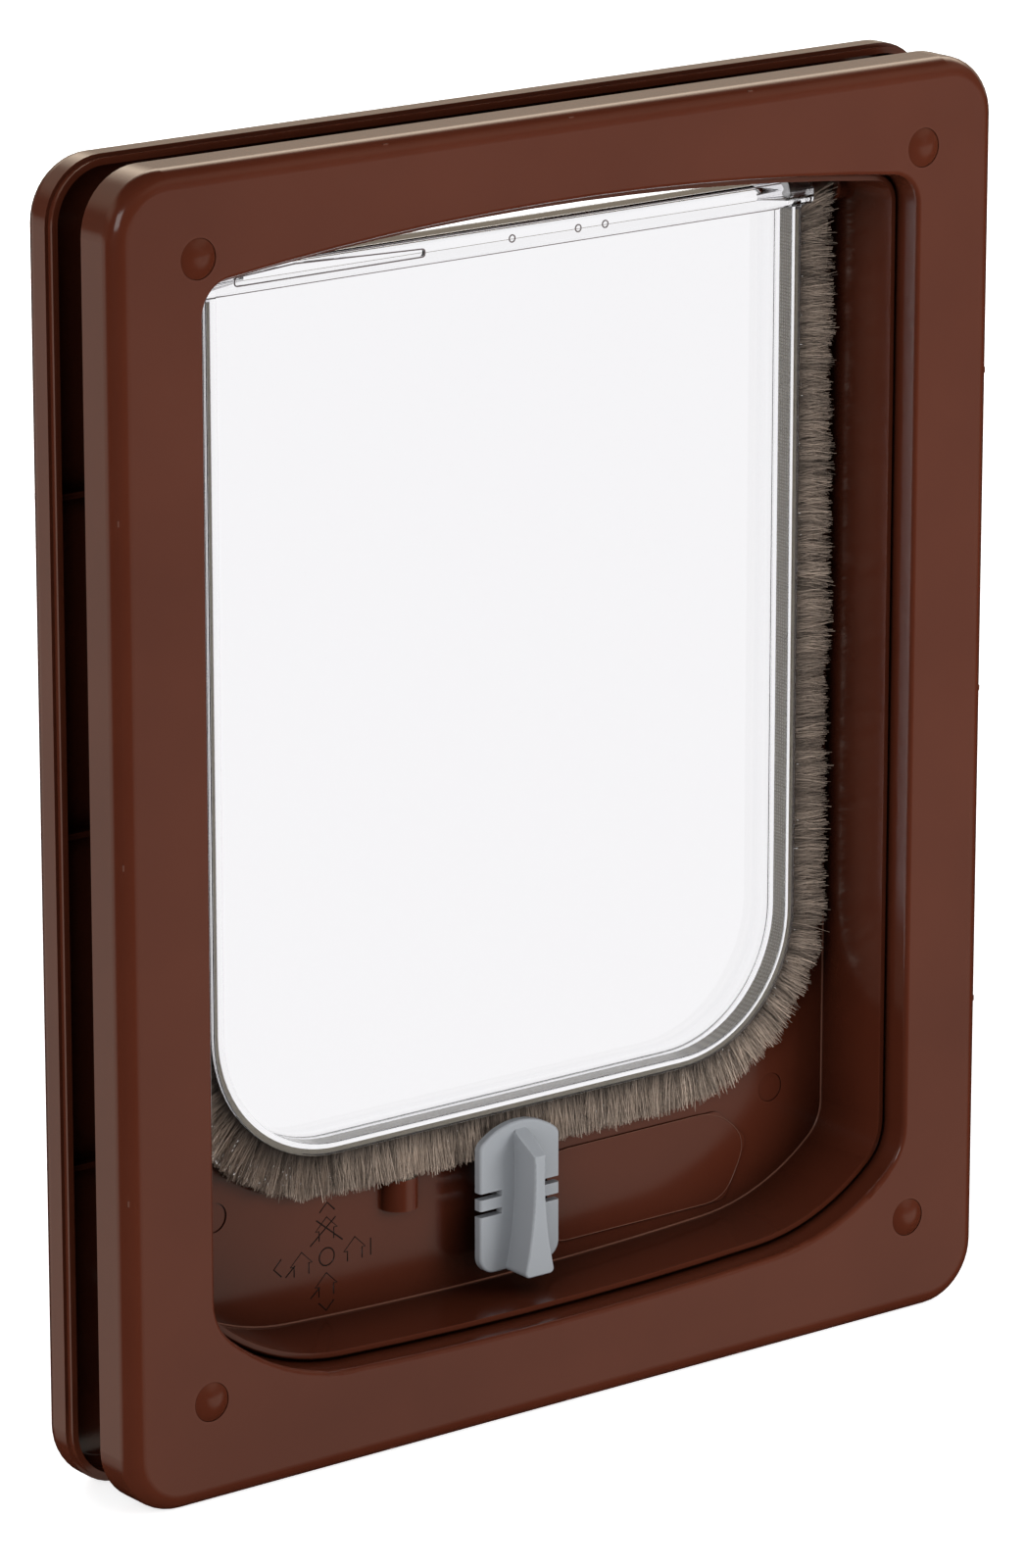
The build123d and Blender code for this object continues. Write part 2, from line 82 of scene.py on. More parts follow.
def srgb(red: int, green: int, blue: int) -> Colour:
    """Linear colour of a display colour.

    Args:
        red: Red from 0 to 255.
        green: Green from 0 to 255.
        blue: Blue from 0 to 255.

    Returns:
        The colour as linear red, green, blue and alpha.
    """

    def linear(value: float) -> float:
        """Linear value of one display channel from 0 to 1."""
        return value / 12.92 if value <= 0.04045 else ((value + 0.055) / 1.055) ** 2.4

    return (linear(red / 255), linear(green / 255), linear(blue / 255), 1.0)


class Body(Enum):
    """Rigid bodies that pieces ride on."""

    FRAME = "frame"
    FLAP = "flap"
    LOCK = "lock"


class Slot(Enum):
    """Material slots of the record for the made pieces; nothing in the script uses them."""

    FRAME = "brown_frame"
    STEEL = "zinc_steel"
    FLAP = "clear_flap"
    TAPE = "grey_tape"
    PILE = "grey_pile"


class Kind(Enum):
    """Kinds of socket that node groups have."""

    NUMBER = "NodeSocketFloat"
    WHOLE = "NodeSocketInt"
    COLOUR = "NodeSocketColor"
    OBJECT = "NodeSocketObject"
    MATERIAL = "NodeSocketMaterial"
    GEOMETRY = "NodeSocketGeometry"


class Graph:
    """Small helper that adds and links nodes in one node tree."""

    def __init__(self, tree: Tree) -> None:
        """Keeps the tree that nodes are added to."""
        self.tree = tree

    def node(self, kind: str, settings: Optional[Settings] = None, **inputs: object) -> bpy.types.Node:
        """Adds a node and fills its inputs.

        Args:
            kind: Node type identifier.
            settings: Properties of the node itself.
            inputs: Input values or output sockets, by input name with underscores for spaces.

        Returns:
            The new node.
        """
        made = self.tree.nodes.new(kind)
        for name, value in (settings or {}).items():
            setattr(made, name, value)
        self.fill(made, **inputs)
        return made

    def fill(self, node: bpy.types.Node, **inputs: object) -> None:
        """Fills inputs of a node with values or output sockets, by name with underscores for spaces."""
        for name, value in inputs.items():
            self.feed(node.inputs[name.replace("_", " ")], value)

    def feed(self, socket: Socket, value: object) -> None:
        """Links an output socket to an input, or sets the input's value.

        Args:
            socket: Input to fill.
            value: Output socket or plain value.
        """
        if isinstance(value, Socket):
            self.tree.links.new(value, socket)
        else:
            socket.default_value = value

    def math(self, operation: str, first: object, second: object = 0.5) -> Socket:
        """Adds a Math node.

        Args:
            operation: What the node does.
            first: First value or socket.
            second: Second value or socket, where the operation has one.

        Returns:
            The node's output.
        """
        made = self.node("ShaderNodeMath", {"operation": operation})
        self.feed(made.inputs[0], first)
        self.feed(made.inputs[1], second)
        return made.outputs[0]

    def product(self, first: object, *others: object) -> Socket:
        """Multiplies values in order.

        Args:
            first: First value or socket.
            others: Values or sockets that it is multiplied by.

        Returns:
            The last output.
        """
        for other in others:
            first = self.math("MULTIPLY", first, other)
        return first

    def vector(self, operation: str, first: object, second: object) -> Socket:
        """Adds a Vector Math node.

        Args:
            operation: What the node does.
            first: Vector.
            second: Other vector, or the factor of a scale.

        Returns:
            The node's vector.
        """
        made = self.node("ShaderNodeVectorMath", {"operation": operation})
        self.feed(made.inputs[0], first)
        self.feed(made.inputs["Scale" if operation == "SCALE" else 1], second)
        return made.outputs[0]

    def mix(self, mask: object, first: object, second: object) -> Socket:
        """Adds a colour mix.

        Args:
            mask: Share of the second colour.
            first: First colour.
            second: Second colour.

        Returns:
            The mixed colour.
        """
        made = self.node("ShaderNodeMix", {"data_type": "RGBA"})
        self.feed(made.inputs[0], mask)
        self.feed(made.inputs[6], first)
        self.feed(made.inputs[7], second)
        return made.outputs[2]

    def span(
        self, value: object, low: object, high: object, new_low: object = 0.0, new_high: object = 1.0
    ) -> Socket:
        """Adds a clamped Map Range.

        Args:
            value: Value to map.
            low: Value that gives the new low end.
            high: Value that gives the new high end.
            new_low: New low end.
            new_high: New high end.

        Returns:
            The mapped value.
        """
        made = self.node("ShaderNodeMapRange", Value=value, From_Min=low, From_Max=high)
        self.fill(made, To_Min=new_low, To_Max=new_high)
        return made.outputs[0]

    def stored(self, geometry: Socket, domain: str, name: str, value: Socket) -> Socket:
        """Stores a number on a geometry.

        Args:
            geometry: Geometry that gets the number.
            domain: Whether points or instances carry it.
            name: Attribute name.
            value: The number.

        Returns:
            The geometry with its number.
        """
        settings = {"data_type": "FLOAT", "domain": domain}
        made = self.node("GeometryNodeStoreNamedAttribute", settings, Geometry=geometry, Name=name)
        self.feed(made.inputs["Value"], value)
        return made.outputs[0]


def built_once(build: Callable[[], Tree]) -> Callable[[], Tree]:
    """Makes a group's builder give back the group of its own name where there is one.

    Args:
        build: Builder, named as the group is.

    Returns:
        The builder that looks first.
    """

    @wraps(build)
    def found_or_built() -> Tree:
        """Group of the builder's name."""
        return bpy.data.node_groups.get(build.__name__) or build()

    return found_or_built


class ShaderGroups:
    """Effects that several finishes share, built once as shader node groups."""

    @staticmethod
    def start(
        name: str, inputs: Dict[str, object], outputs: Dict[str, Kind]
    ) -> Tuple[Graph, bpy.types.NodeOutputs]:
        """Starts a shader group with its sockets.

        Args:
            name: Group name.
            inputs: Default of each input by name: a colour, or else a number.
            outputs: Kind of each output by name.

        Returns:
            A graph on the new group and the values of its inputs.
        """
        tree = bpy.data.node_groups.new(name, "ShaderNodeTree")
        for label, default in inputs.items():
            kind = Kind.COLOUR if isinstance(default, tuple) else Kind.NUMBER
            socket = tree.interface.new_socket(name=label, in_out="INPUT", socket_type=kind.value)
            socket.default_value = default
        for label, kind in outputs.items():
            tree.interface.new_socket(name=label, in_out="OUTPUT", socket_type=kind.value)
        graph = Graph(tree)
        return graph, graph.node("NodeGroupInput").outputs

    @staticmethod
    @built_once
    def moulded_grain() -> Tree:
        """Fine spark texture of a moulding.

        Returns:
            Group with a height for bump and a roughness that varies a little.
        """
        inputs = {"Grain Scale": 1500.0, "Roughness": 0.35, "Spread": 0.06}
        outputs = {"Height": Kind.NUMBER, "Roughness": Kind.NUMBER}
        graph, given = ShaderGroups.start("moulded_grain", inputs, outputs)
        place = graph.node("ShaderNodeTexCoord").outputs["Object"]
        fine = graph.node("ShaderNodeTexNoise", Vector=place, Scale=given["Grain Scale"], Detail=2.0)
        broad = graph.node("ShaderNodeTexNoise", Vector=place, Scale=38.0, Detail=3.0)
        swing = graph.product(graph.math("SUBTRACT", broad.outputs["Fac"], 0.5), given["Spread"])
        rough = graph.math("ADD", given["Roughness"], swing)
        graph.node("NodeGroupOutput", Height=fine.outputs["Fac"], Roughness=rough)
        return graph.tree

    @staticmethod
    @built_once
    def edge_rub() -> Tree:
        """Rubbed edges, broken up by noise.

        Returns:
            Group with a mask that is strongest along convex edges.
        """
        inputs = {"Width": 0.0012, "Amount": 0.35}
        graph, given = ShaderGroups.start("edge_rub", inputs, {"Mask": Kind.NUMBER})
        bevel = graph.node("ShaderNodeBevel", {"samples": 4}, Radius=given["Width"])
        dot = graph.node("ShaderNodeVectorMath", {"operation": "DOT_PRODUCT"})
        graph.feed(dot.inputs[0], bevel.outputs["Normal"])
        graph.feed(dot.inputs[1], graph.node("ShaderNodeNewGeometry").outputs["Normal"])
        edge = graph.span(dot.outputs["Value"], 0.995, 0.86)
        place = graph.node("ShaderNodeTexCoord").outputs["Object"]
        noise = graph.node("ShaderNodeTexNoise", Vector=place, Scale=220.0, Detail=4.0)
        patch = graph.span(noise.outputs["Fac"], 0.35, 0.65, 0.3, 1.0)
        graph.node("NodeGroupOutput", Mask=graph.product(edge, patch, given["Amount"]))
        return graph.tree

    @staticmethod
    @built_once
    def cavity_shade() -> Tree:
        """Painted shade in gaps and corners, where little light reaches the moulding.

        Returns:
            Group with a mask of the painted shade, which is left out close to the ground.
        """
        inputs = {"Reach": 0.03, "Amount": 0.8}
        graph, given = ShaderGroups.start("cavity_shade", inputs, {"Mask": Kind.NUMBER})
        open_sky = graph.node("ShaderNodeAmbientOcclusion", {"samples": 8}, Distance=given["Reach"])
        # Painted shade: the less open sky the ambient occlusion finds, the more shade colour is painted in.
        deep = graph.span(open_sky.outputs["AO"], 0.78, 0.22)
        place = graph.node("ShaderNodeTexCoord").outputs["Object"]
        height = graph.node("ShaderNodeSeparateXYZ", Vector=place).outputs["Z"]
        off_ground = graph.span(height, 0.012, 0.026)
        strength = graph.product(off_ground, given["Amount"])
        graph.node("NodeGroupOutput", Mask=graph.product(deep, strength))
        return graph.tree

    @staticmethod
    @built_once
    def cloudy_tone() -> Tree:
        """Two close colours mixed by soft clouds, as in a moulding or a plating.

        Returns:
            Group with the mixed colour.
        """
        inputs = {"Light": (0.5, 0.5, 0.5, 1.0), "Dark": (0.4, 0.4, 0.4, 1.0), "Cloud Scale": 24.0}
        graph, given = ShaderGroups.start("cloudy_tone", inputs, {"Color": Kind.COLOUR})
        place = graph.node("ShaderNodeTexCoord").outputs["Object"]
        noise = graph.node("ShaderNodeTexNoise", Vector=place, Scale=given["Cloud Scale"], Detail=3.0)
        mask = graph.span(noise.outputs["Fac"], 0.3, 0.7)
        graph.node("NodeGroupOutput", Color=graph.mix(mask, given["Dark"], given["Light"]))
        return graph.tree


class Finish:
    """Base of every finish: starts a material and its Principled shader."""

    @staticmethod
    def start(name: str) -> Tuple[bpy.types.Material, Graph, bpy.types.Node]:
        """Makes an empty node material.

        Args:
            name: Material name.

        Returns:
            The material, a graph on its nodes, and its Principled shader.
        """
        material = bpy.data.materials.new(name)
        material.use_nodes = True
        material.node_tree.nodes.clear()
        graph = Graph(material.node_tree)
        shader = graph.node("ShaderNodeBsdfPrincipled")
        graph.node("ShaderNodeOutputMaterial", Surface=shader.outputs[0])
        return material, graph, shader

    @staticmethod
    def group(graph: Graph, tree: Tree, **inputs: object) -> bpy.types.NodeOutputs:
        """Places a shader group in a material with its own values, and returns its outputs."""
        return graph.node("ShaderNodeGroup", {"node_tree": tree}, **inputs).outputs


@dataclass(frozen=True)
class MouldedPlastic(Finish):
    """Opaque moulded plastic with a fine grain, slightly rubbed edges and painted shade in gaps and corners.
    """

    name: str
    light: Colour
    dark: Colour
    rubbed: Colour
    # Colour of the painted shade in gaps and corners.
    deep: Colour
    roughness: float = 0.15
    spread: float = 0.07
    specular: float = 0.48
    ior: float = 1.52
    rub: float = 0.35
    rub_width: float = 0.0014
    shade: float = 0.94
    shade_reach: float = 0.035
    grain: float = 0.04
    grain_height: float = 0.0002
    clouds: float = 17.0

    def build(self) -> bpy.types.Material:
        """Builds the finish.

        Returns:
            The material.
        """
        material, graph, shader = self.start(self.name)
        groups = ShaderGroups
        tone = self.group(
            graph, groups.cloudy_tone(), Light=self.light, Dark=self.dark, Cloud_Scale=self.clouds
        )
        wear = self.group(graph, groups.edge_rub(), Width=self.rub_width, Amount=self.rub)
        skin = self.group(graph, groups.moulded_grain(), Roughness=self.roughness, Spread=self.spread)
        shade = self.group(graph, groups.cavity_shade(), Reach=self.shade_reach, Amount=self.shade)
        colour = graph.mix(wear["Mask"], tone["Color"], self.rubbed)
        # Painted shade mixed in where gaps and corners hem the moulding in.
        colour = graph.mix(shade["Mask"], colour, self.deep)
        bump = graph.node("ShaderNodeBump", Strength=self.grain, Distance=self.grain_height)
        graph.fill(bump, Height=skin["Height"])
        graph.fill(shader, Base_Color=colour, Roughness=skin["Roughness"], Normal=bump.outputs[0])
        graph.fill(shader, IOR=self.ior, Specular_IOR_Level=self.specular)
        return material


@dataclass(frozen=True)
class ClearPlastic(Finish):
    """Clear moulded plastic, polished, with the faint waves of its flow in the mould."""

    name: str
    tint: Colour = (0.9, 0.895, 0.915, 1.0)
    roughness: float = 0.02
    ior: float = 1.49
    waves: float = 30.0
    wave_height: float = 0.0004
    wave_strength: float = 0.02

    def build(self) -> bpy.types.Material:
        """Builds the finish.

        Returns:
            The material.
        """
        material, graph, shader = self.start(self.name)
        place = graph.node("ShaderNodeTexCoord").outputs["Object"]
        flow = graph.node("ShaderNodeTexNoise", Vector=place, Scale=self.waves, Detail=1.0)
        bump = graph.node("ShaderNodeBump", Strength=self.wave_strength, Distance=self.wave_height)
        graph.fill(bump, Height=flow.outputs["Fac"])
        graph.fill(shader, Base_Color=self.tint, Roughness=self.roughness, Normal=bump.outputs[0])
        graph.fill(shader, IOR=self.ior, Transmission_Weight=1.0)
        return material


@dataclass(frozen=True)
class PileFibre(Finish):
    """Grey brush fibre: each strand has its own tone, and all carry painted shade towards their roots."""

    name: str
    light: Colour
    dark: Colour
    root: Colour
    root_share: float = 0.55
    roughness: float = 0.72
    sheen: float = 0.15

    def build(self) -> bpy.types.Material:
        """Builds the finish.

        Returns:
            The material, which reads the strands' own attributes.
        """
        material, graph, shader = self.start(self.name)
        tone = graph.node("ShaderNodeAttribute", {"attribute_name": "tone"}).outputs["Fac"]
        colour = graph.mix(graph.span(tone, 0.3, 0.7), self.dark, self.light)
        along = graph.node("ShaderNodeAttribute", {"attribute_name": "along"}).outputs["Fac"]
        # Painted shade: strands darken towards their roots, where the pile shades itself.
        fade = graph.span(along, 0.0, self.root_share)
        graph.fill(shader, Base_Color=graph.mix(fade, self.root, colour))
        graph.fill(shader, Roughness=self.roughness, Sheen_Weight=self.sheen)
        return material


@dataclass(frozen=True)
class WovenTape(Finish):
    """Backing tape of the brush strip: close plain weave."""

    name: str
    light: Colour
    dark: Colour
    threads: float = 340.0
    unevenness: float = 0.6
    relief: float = 0.5
    thread_height: float = 0.0002
    roughness: float = 0.8

    def build(self) -> bpy.types.Material:
        """Builds the finish.

        Returns:
            The material.
        """
        material, graph, shader = self.start(self.name)
        place = graph.node("ShaderNodeTexCoord").outputs["Object"]
        waves = []
        for direction in ("Z", "Y"):
            wave = graph.node("ShaderNodeTexWave", {"bands_direction": direction}, Vector=place)
            graph.fill(wave, Scale=self.threads, Distortion=self.unevenness)
            waves.append(wave.outputs["Fac"])
        weave = graph.product(*waves)
        bump = graph.node("ShaderNodeBump", Strength=self.relief, Distance=self.thread_height, Height=weave)
        graph.fill(shader, Base_Color=graph.mix(weave, self.dark, self.light))
        graph.fill(shader, Roughness=self.roughness, Normal=bump.outputs[0])
        return material


@dataclass(frozen=True)
class PlatedSteel(Finish):
    """Zinc plated steel with a fine turned finish."""

    name: str
    colour: Colour
    dulled: float = 0.72
    clouds: float = 420.0
    grain_scale: float = 900.0
    roughness: float = 0.32
    spread: float = 0.2
    relief: float = 0.08
    grain_height: float = 0.0001

    def build(self) -> bpy.types.Material:
        """Builds the finish.

        Returns:
            The material.
        """
        material, graph, shader = self.start(self.name)
        skin = self.group(
            graph,
            ShaderGroups.moulded_grain(),
            Grain_Scale=self.grain_scale,
            Roughness=self.roughness,
            Spread=self.spread,
        )
        dull = tuple(self.dulled * value for value in self.colour[:3]) + (1.0,)
        clouds = ShaderGroups.cloudy_tone()
        tone = self.group(graph, clouds, Light=self.colour, Dark=dull, Cloud_Scale=self.clouds)
        bump = graph.node("ShaderNodeBump", Strength=self.relief, Distance=self.grain_height)
        graph.fill(bump, Height=skin["Height"])
        graph.fill(shader, Base_Color=tone["Color"], Roughness=skin["Roughness"])
        graph.fill(shader, Metallic=1.0, Normal=bump.outputs[0])
        return material


# Colours of the painted shade in gaps and corners.
PAINTED_SHADE_BROWN = srgb(12, 4, 2)
PAINTED_SHADE_GREY = srgb(108, 111, 116)
BROWN = MouldedPlastic("brown_moulding", srgb(90, 43, 28), srgb(83, 38, 24), srgb(104, 56, 40), PAINTED_SHADE_BROWN)
CAP_BROWN = MouldedPlastic(
    "brown_cap", srgb(89, 42, 27), srgb(82, 37, 23), srgb(104, 56, 40), PAINTED_SHADE_BROWN, shade=0.5
)
# Paler brown of the sill's edge beads: a painted highlight.
PAINTED_HIGHLIGHT_BROWN = MouldedPlastic(
    "brown_painted_highlight", srgb(112, 72, 58), srgb(100, 64, 51), srgb(126, 88, 74), PAINTED_SHADE_BROWN, shade=0.2
)
LEGEND_BROWN = MouldedPlastic(
    "brown_legend", srgb(26, 10, 6), srgb(21, 8, 5), srgb(32, 14, 9), PAINTED_SHADE_BROWN, rub=0.1
)
# Grey of the lines on the clear bar: real edges, recess and mould marks, drawn as painted edge light.
PAINTED_EDGE_LIGHT_GREY = MouldedPlastic(
    "grey_painted_edge_light", srgb(124, 112, 112), srgb(112, 101, 101), srgb(140, 130, 130), PAINTED_SHADE_GREY, shade=0.1
)
GREY = MouldedPlastic(
    "grey_moulding",
    srgb(168, 172, 177),
    srgb(160, 164, 169),
    srgb(198, 201, 205),
    PAINTED_SHADE_GREY,
    roughness=0.32,
    shade=0.5,
)
CLEAR = ClearPlastic("clear_moulding")
# The third colour is the painted shade towards the fibres' roots.
PILE = PileFibre("grey_pile_fibre", srgb(212, 191, 173), srgb(90, 79, 70), srgb(70, 61, 54))
TAPE = WovenTape("grey_tape_weave", srgb(200, 191, 168), srgb(142, 133, 114))
STEEL = PlatedSteel("zinc_plate", srgb(196, 196, 194))


def link_mesh(name: str, mesh: bpy.types.Mesh) -> bpy.types.Object:
    """Puts a mesh into the scene.

    Args:
        name: Object name.
        mesh: Mesh in the part's own frame.

    Returns:
        The object, at the origin.
    """
    made = bpy.data.objects.new(name, mesh)
    bpy.context.scene.collection.objects.link(made)
    return made


def baked(source: bpy.types.Object, name: str) -> bpy.types.Object:
    """Turns an object with modifiers or a curve into a plain mesh object.

    Args:
        source: Object to evaluate. It is removed.
        name: Name of the plain object.

    Returns:
        The plain mesh object at the origin.
    """
    graph = bpy.context.evaluated_depsgraph_get()
    mesh = bpy.data.meshes.new_from_object(source.evaluated_get(graph))
    bpy.data.objects.remove(source)
    mesh.name = name
    return link_mesh(name, mesh)


def dress(piece: bpy.types.Object, material: bpy.types.Material) -> None:
    """Gives a piece one material in its slots.

    Args:
        piece: Mesh object.
        material: Material for all its slots.
    """
    if not piece.data.materials:
        piece.data.materials.append(material)
    for place in piece.material_slots:
        place.material = material


def ring_points(depth: float, radius: float, height: float, sides: int) -> List[Vector]:
    """Points in metres round a ring that faces the front, from its sizes in millimetres."""
    turns = [math.tau * index / sides for index in range(sides)]
    return [at(radius * math.cos(turn), depth, height + radius * math.sin(turn)) for turn in turns]


def joined_rings(name: str, rings: Sequence[Sequence[Vector]]) -> bpy.types.Mesh:
    """Closed mesh through rings, with a flat face at both ends.

    Args:
        name: Mesh name.
        rings: Points of each ring in metres, as many in each.

    Returns:
        The mesh, with its faces outwards.
    """
    bm = bmesh.new()
    layers = [[bm.verts.new(point) for point in ring] for ring in rings]
    for first, second in zip(layers, layers[1:]):
        for index, point in enumerate(first):
            following = (index + 1) % len(first)
            bm.faces.new((point, first[following], second[following], second[index]))
    bm.faces.new(layers[0])
    bm.faces.new(layers[-1])
    bmesh.ops.recalc_face_normals(bm, faces=bm.faces)
    mesh = bpy.data.meshes.new(name)
    bm.to_mesh(mesh)
    bm.free()
    return mesh


def line_piece(name: str, lines: Sequence[Sequence[Vector]], radius: float) -> bpy.types.Object:
    """Builds round beads along lines.

    Args:
        name: Name of the piece.
        lines: Points of each line in metres.
        radius: Radius of the beads in millimetres.

    Returns:
        The beads as one mesh object.
    """
    curve = bpy.data.curves.new(name, "CURVE")
    curve.dimensions = "3D"
    curve.bevel_depth = radius * MM
    curve.bevel_resolution = 1
    curve.use_fill_caps = True
    for line in lines:
        spline = curve.splines.new("POLY")
        spline.points.add(len(line) - 1)
        for point, spot in zip(spline.points, line):
            point.co = (*spot, 1.0)
    holder = bpy.data.objects.new(name, curve)
    bpy.context.scene.collection.objects.link(holder)
    return baked(holder, name)


def round_line(x: float, z: float, radius: float, steps: int) -> List[Point2]:
    """Points of a front view circle round a middle, the first one repeated at the end."""
    turns = [math.tau * step / steps for step in range(steps + 1)]
    return [(x + radius * math.cos(turn), z + radius * math.sin(turn)) for turn in turns]


def rounded(points: Sequence[Point2], radius: float) -> List[Point2]:
    """Closed line through points, with each corner cut by a short curve.

    Args:
        points: Corners in order.
        radius: Length of each edge that the curve takes.

    Returns:
        The line's points, the first one repeated at the end.
    """
    line: List[Point2] = []
    for index, corner in enumerate(points):
        middle = Vector(corner)
        before = Vector(points[index - 1]) - middle
        after = Vector(points[(index + 1) % len(points)]) - middle
        start = middle + before.normalized() * radius
        end = middle + after.normalized() * radius
        for step in range(CURVE_STEPS + 1):
            share = step / CURVE_STEPS
            spot = start.lerp(middle, share).lerp(middle.lerp(end, share), share)
            line.append((spot.x, spot.y))
    return line + line[:1]


def set_input(modifier: bpy.types.NodesModifier, name: str, value: object) -> None:
    """Sets a Geometry Nodes modifier's input by the identifier of its socket.

    Args:
        modifier: Modifier with its tree.
        name: Name of the input.
        value: Value of the input.
    """
    for item in modifier.node_group.interface.items_tree:
        if item.item_type == "SOCKET" and item.in_out == "INPUT" and item.name == name:
            modifier[item.identifier] = value


def node_tree(name: str, inputs: Dict[str, Kind]) -> Tuple[Graph, bpy.types.NodeOutputs]:
    """Starts a Geometry Nodes tree.

    Args:
        name: Tree name.
        inputs: Kind of each input after the geometry, by name.

    Returns:
        A graph on the tree and the values of its inputs.
    """
    tree = bpy.data.node_groups.new(name, "GeometryNodeTree")
    for label, kind in {"Geometry": Kind.GEOMETRY, **inputs}.items():
        tree.interface.new_socket(name=label, in_out="INPUT", socket_type=kind.value)
    tree.interface.new_socket(name="Geometry", in_out="OUTPUT", socket_type=Kind.GEOMETRY.value)
    graph = Graph(tree)
    return graph, graph.node("NodeGroupInput").outputs


@dataclass
class TrimFrames:
    """The two brown trim frames and the caps over their screws."""

    frames: Tuple[str, ...] = ("front_frame", "rear_frame")
    caps: Tuple[str, ...] = (
        "screw_cap_top_left",
        "screw_cap_top_right",
        "screw_cap_bottom_left",
        "screw_cap_bottom_right",
    )

    def dress(self, nodes: Dict[str, bpy.types.Object]) -> None:
        """Gives the frames and caps their brown plastic.

        Args:
            nodes: The frame's nodes by name.
        """
        brown = BROWN.build()
        cap_brown = CAP_BROWN.build()
        for name in self.frames:
            dress(nodes[name], brown)
            LOG.info("dressed %s", name)
        for name in self.caps:
            dress(nodes[name], cap_brown)
            LOG.info("dressed %s", name)


@dataclass
class FixingScrews:
    """Threaded screws that pull the frames together, and the hinge pins."""

    across: float = 119.6
    heights: Point2 = (28.6, 332.7)
    head_depth: float = 5.2
    crown_t: float = 0.5
    crown_r: float = 2.96
    head_r: float = 3.7
    seat: float = 7.6
    neck_r: float = 1.8
    thread_start: float = 0.4
    thread_end: float = 3.0
    core_r: float = 1.55
    crest_r: float = 2.0
    pitch: float = 1.4
    flank: float = 3.0
    point_len: float = 1.6
    point_r: float = 1.24
    tip: float = 36.0
    tip_r: float = 0.25
    sides: int = 20
    rings_per_pitch: int = 6
    pins: Tuple[str, ...] = ("hinge_pin_left", "hinge_pin_right")

    def thread_ring(self, depth: float) -> List[Vector]:
        """Ring of points round the thread.

        Args:
            depth: Depth in millimetres.

        Returns:
            The points in metres, at the origin of the front view.
        """
        points = []
        for index in range(self.sides):
            turn = math.tau * index / self.sides
            phase = (depth / self.pitch - index / self.sides) % 1.0
            rise = max(0.0, 1.0 - abs(phase - 0.5) * self.flank)
            radius = self.core_r + (self.crest_r - self.core_r) * rise
            points.append(at(radius * math.cos(turn), depth, radius * math.sin(turn)))
        return points

    def screw_mesh(self) -> bpy.types.Mesh:
        """One screw at the origin of the front view.

        Returns:
            Mesh of its pan head, thread and point.
        """
        head = [(self.head_depth, self.crown_r), (self.head_depth + self.crown_t, self.head_r)]
        head += [(self.seat, self.head_r), (self.seat, self.neck_r)]
        point = [(self.tip - self.point_len, self.point_r), (self.tip, self.tip_r)]
        step = self.pitch / self.rings_per_pitch
        count = int((self.tip - self.thread_end - self.seat) / step)
        rings = [ring_points(depth, radius, 0.0, self.sides) for depth, radius in head]
        rings += [self.thread_ring(self.seat + self.thread_start + number * step) for number in range(count)]
        rings += [ring_points(depth, radius, 0.0, self.sides) for depth, radius in point]
        return joined_rings("screw_template", rings)

    def repeat_tree(self) -> Tree:
        """Geometry Nodes tree that sets a copy of one object on every point.

        Returns:
            The tree.
        """
        graph, given = node_tree("copies_on_points", {"Copy": Kind.OBJECT, "Material": Kind.MATERIAL})
        source = graph.node("GeometryNodeObjectInfo", Object=given["Copy"]).outputs["Geometry"]
        points = graph.node("GeometryNodeMeshToPoints", Mesh=given["Geometry"]).outputs[0]
        copies = graph.node("GeometryNodeInstanceOnPoints", Points=points, Instance=source).outputs[0]
        real = graph.node("GeometryNodeRealizeInstances", Geometry=copies).outputs[0]
        done = graph.node("GeometryNodeSetMaterial", Geometry=real, Material=given["Material"])
        graph.node("NodeGroupOutput", Geometry=done.outputs[0])
        return graph.tree

    def build(self, steel: bpy.types.Material) -> bpy.types.Object:
        """Builds the four screws and sets them in for the plain ones.

        Args:
            steel: Plated steel material.

        Returns:
            The screws as one object.
        """
        template = link_mesh("screw_template", self.screw_mesh())
        places = [(side * self.across * MM, 0.0, z * MM) for z in self.heights for side in (-1, 1)]
        mesh = bpy.data.meshes.new("screw_places")
        mesh.from_pydata(places, [], [])
        holder = link_mesh("screw_places", mesh)
        modifier = holder.modifiers.new("copies", "NODES")
        modifier.node_group = self.repeat_tree()
        set_input(modifier, "Copy", template)
        set_input(modifier, "Material", steel)
        screws = baked(holder, "threaded_screws")
        bpy.data.objects.remove(template)
        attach(screws, Body.FRAME.value)
        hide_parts("fixing_screws")
        LOG.info("built %s: %d faces", screws.name, len(screws.data.polygons))
        return screws

    def dress(self, nodes: Dict[str, bpy.types.Object], steel: bpy.types.Material) -> None:
        """Gives the hinge pins their plated steel.

        Args:
            nodes: The frame's nodes by name.
            steel: Plated steel material.
        """
        for name in self.pins:
            dress(nodes[name], steel)
            LOG.info("dressed %s", name)


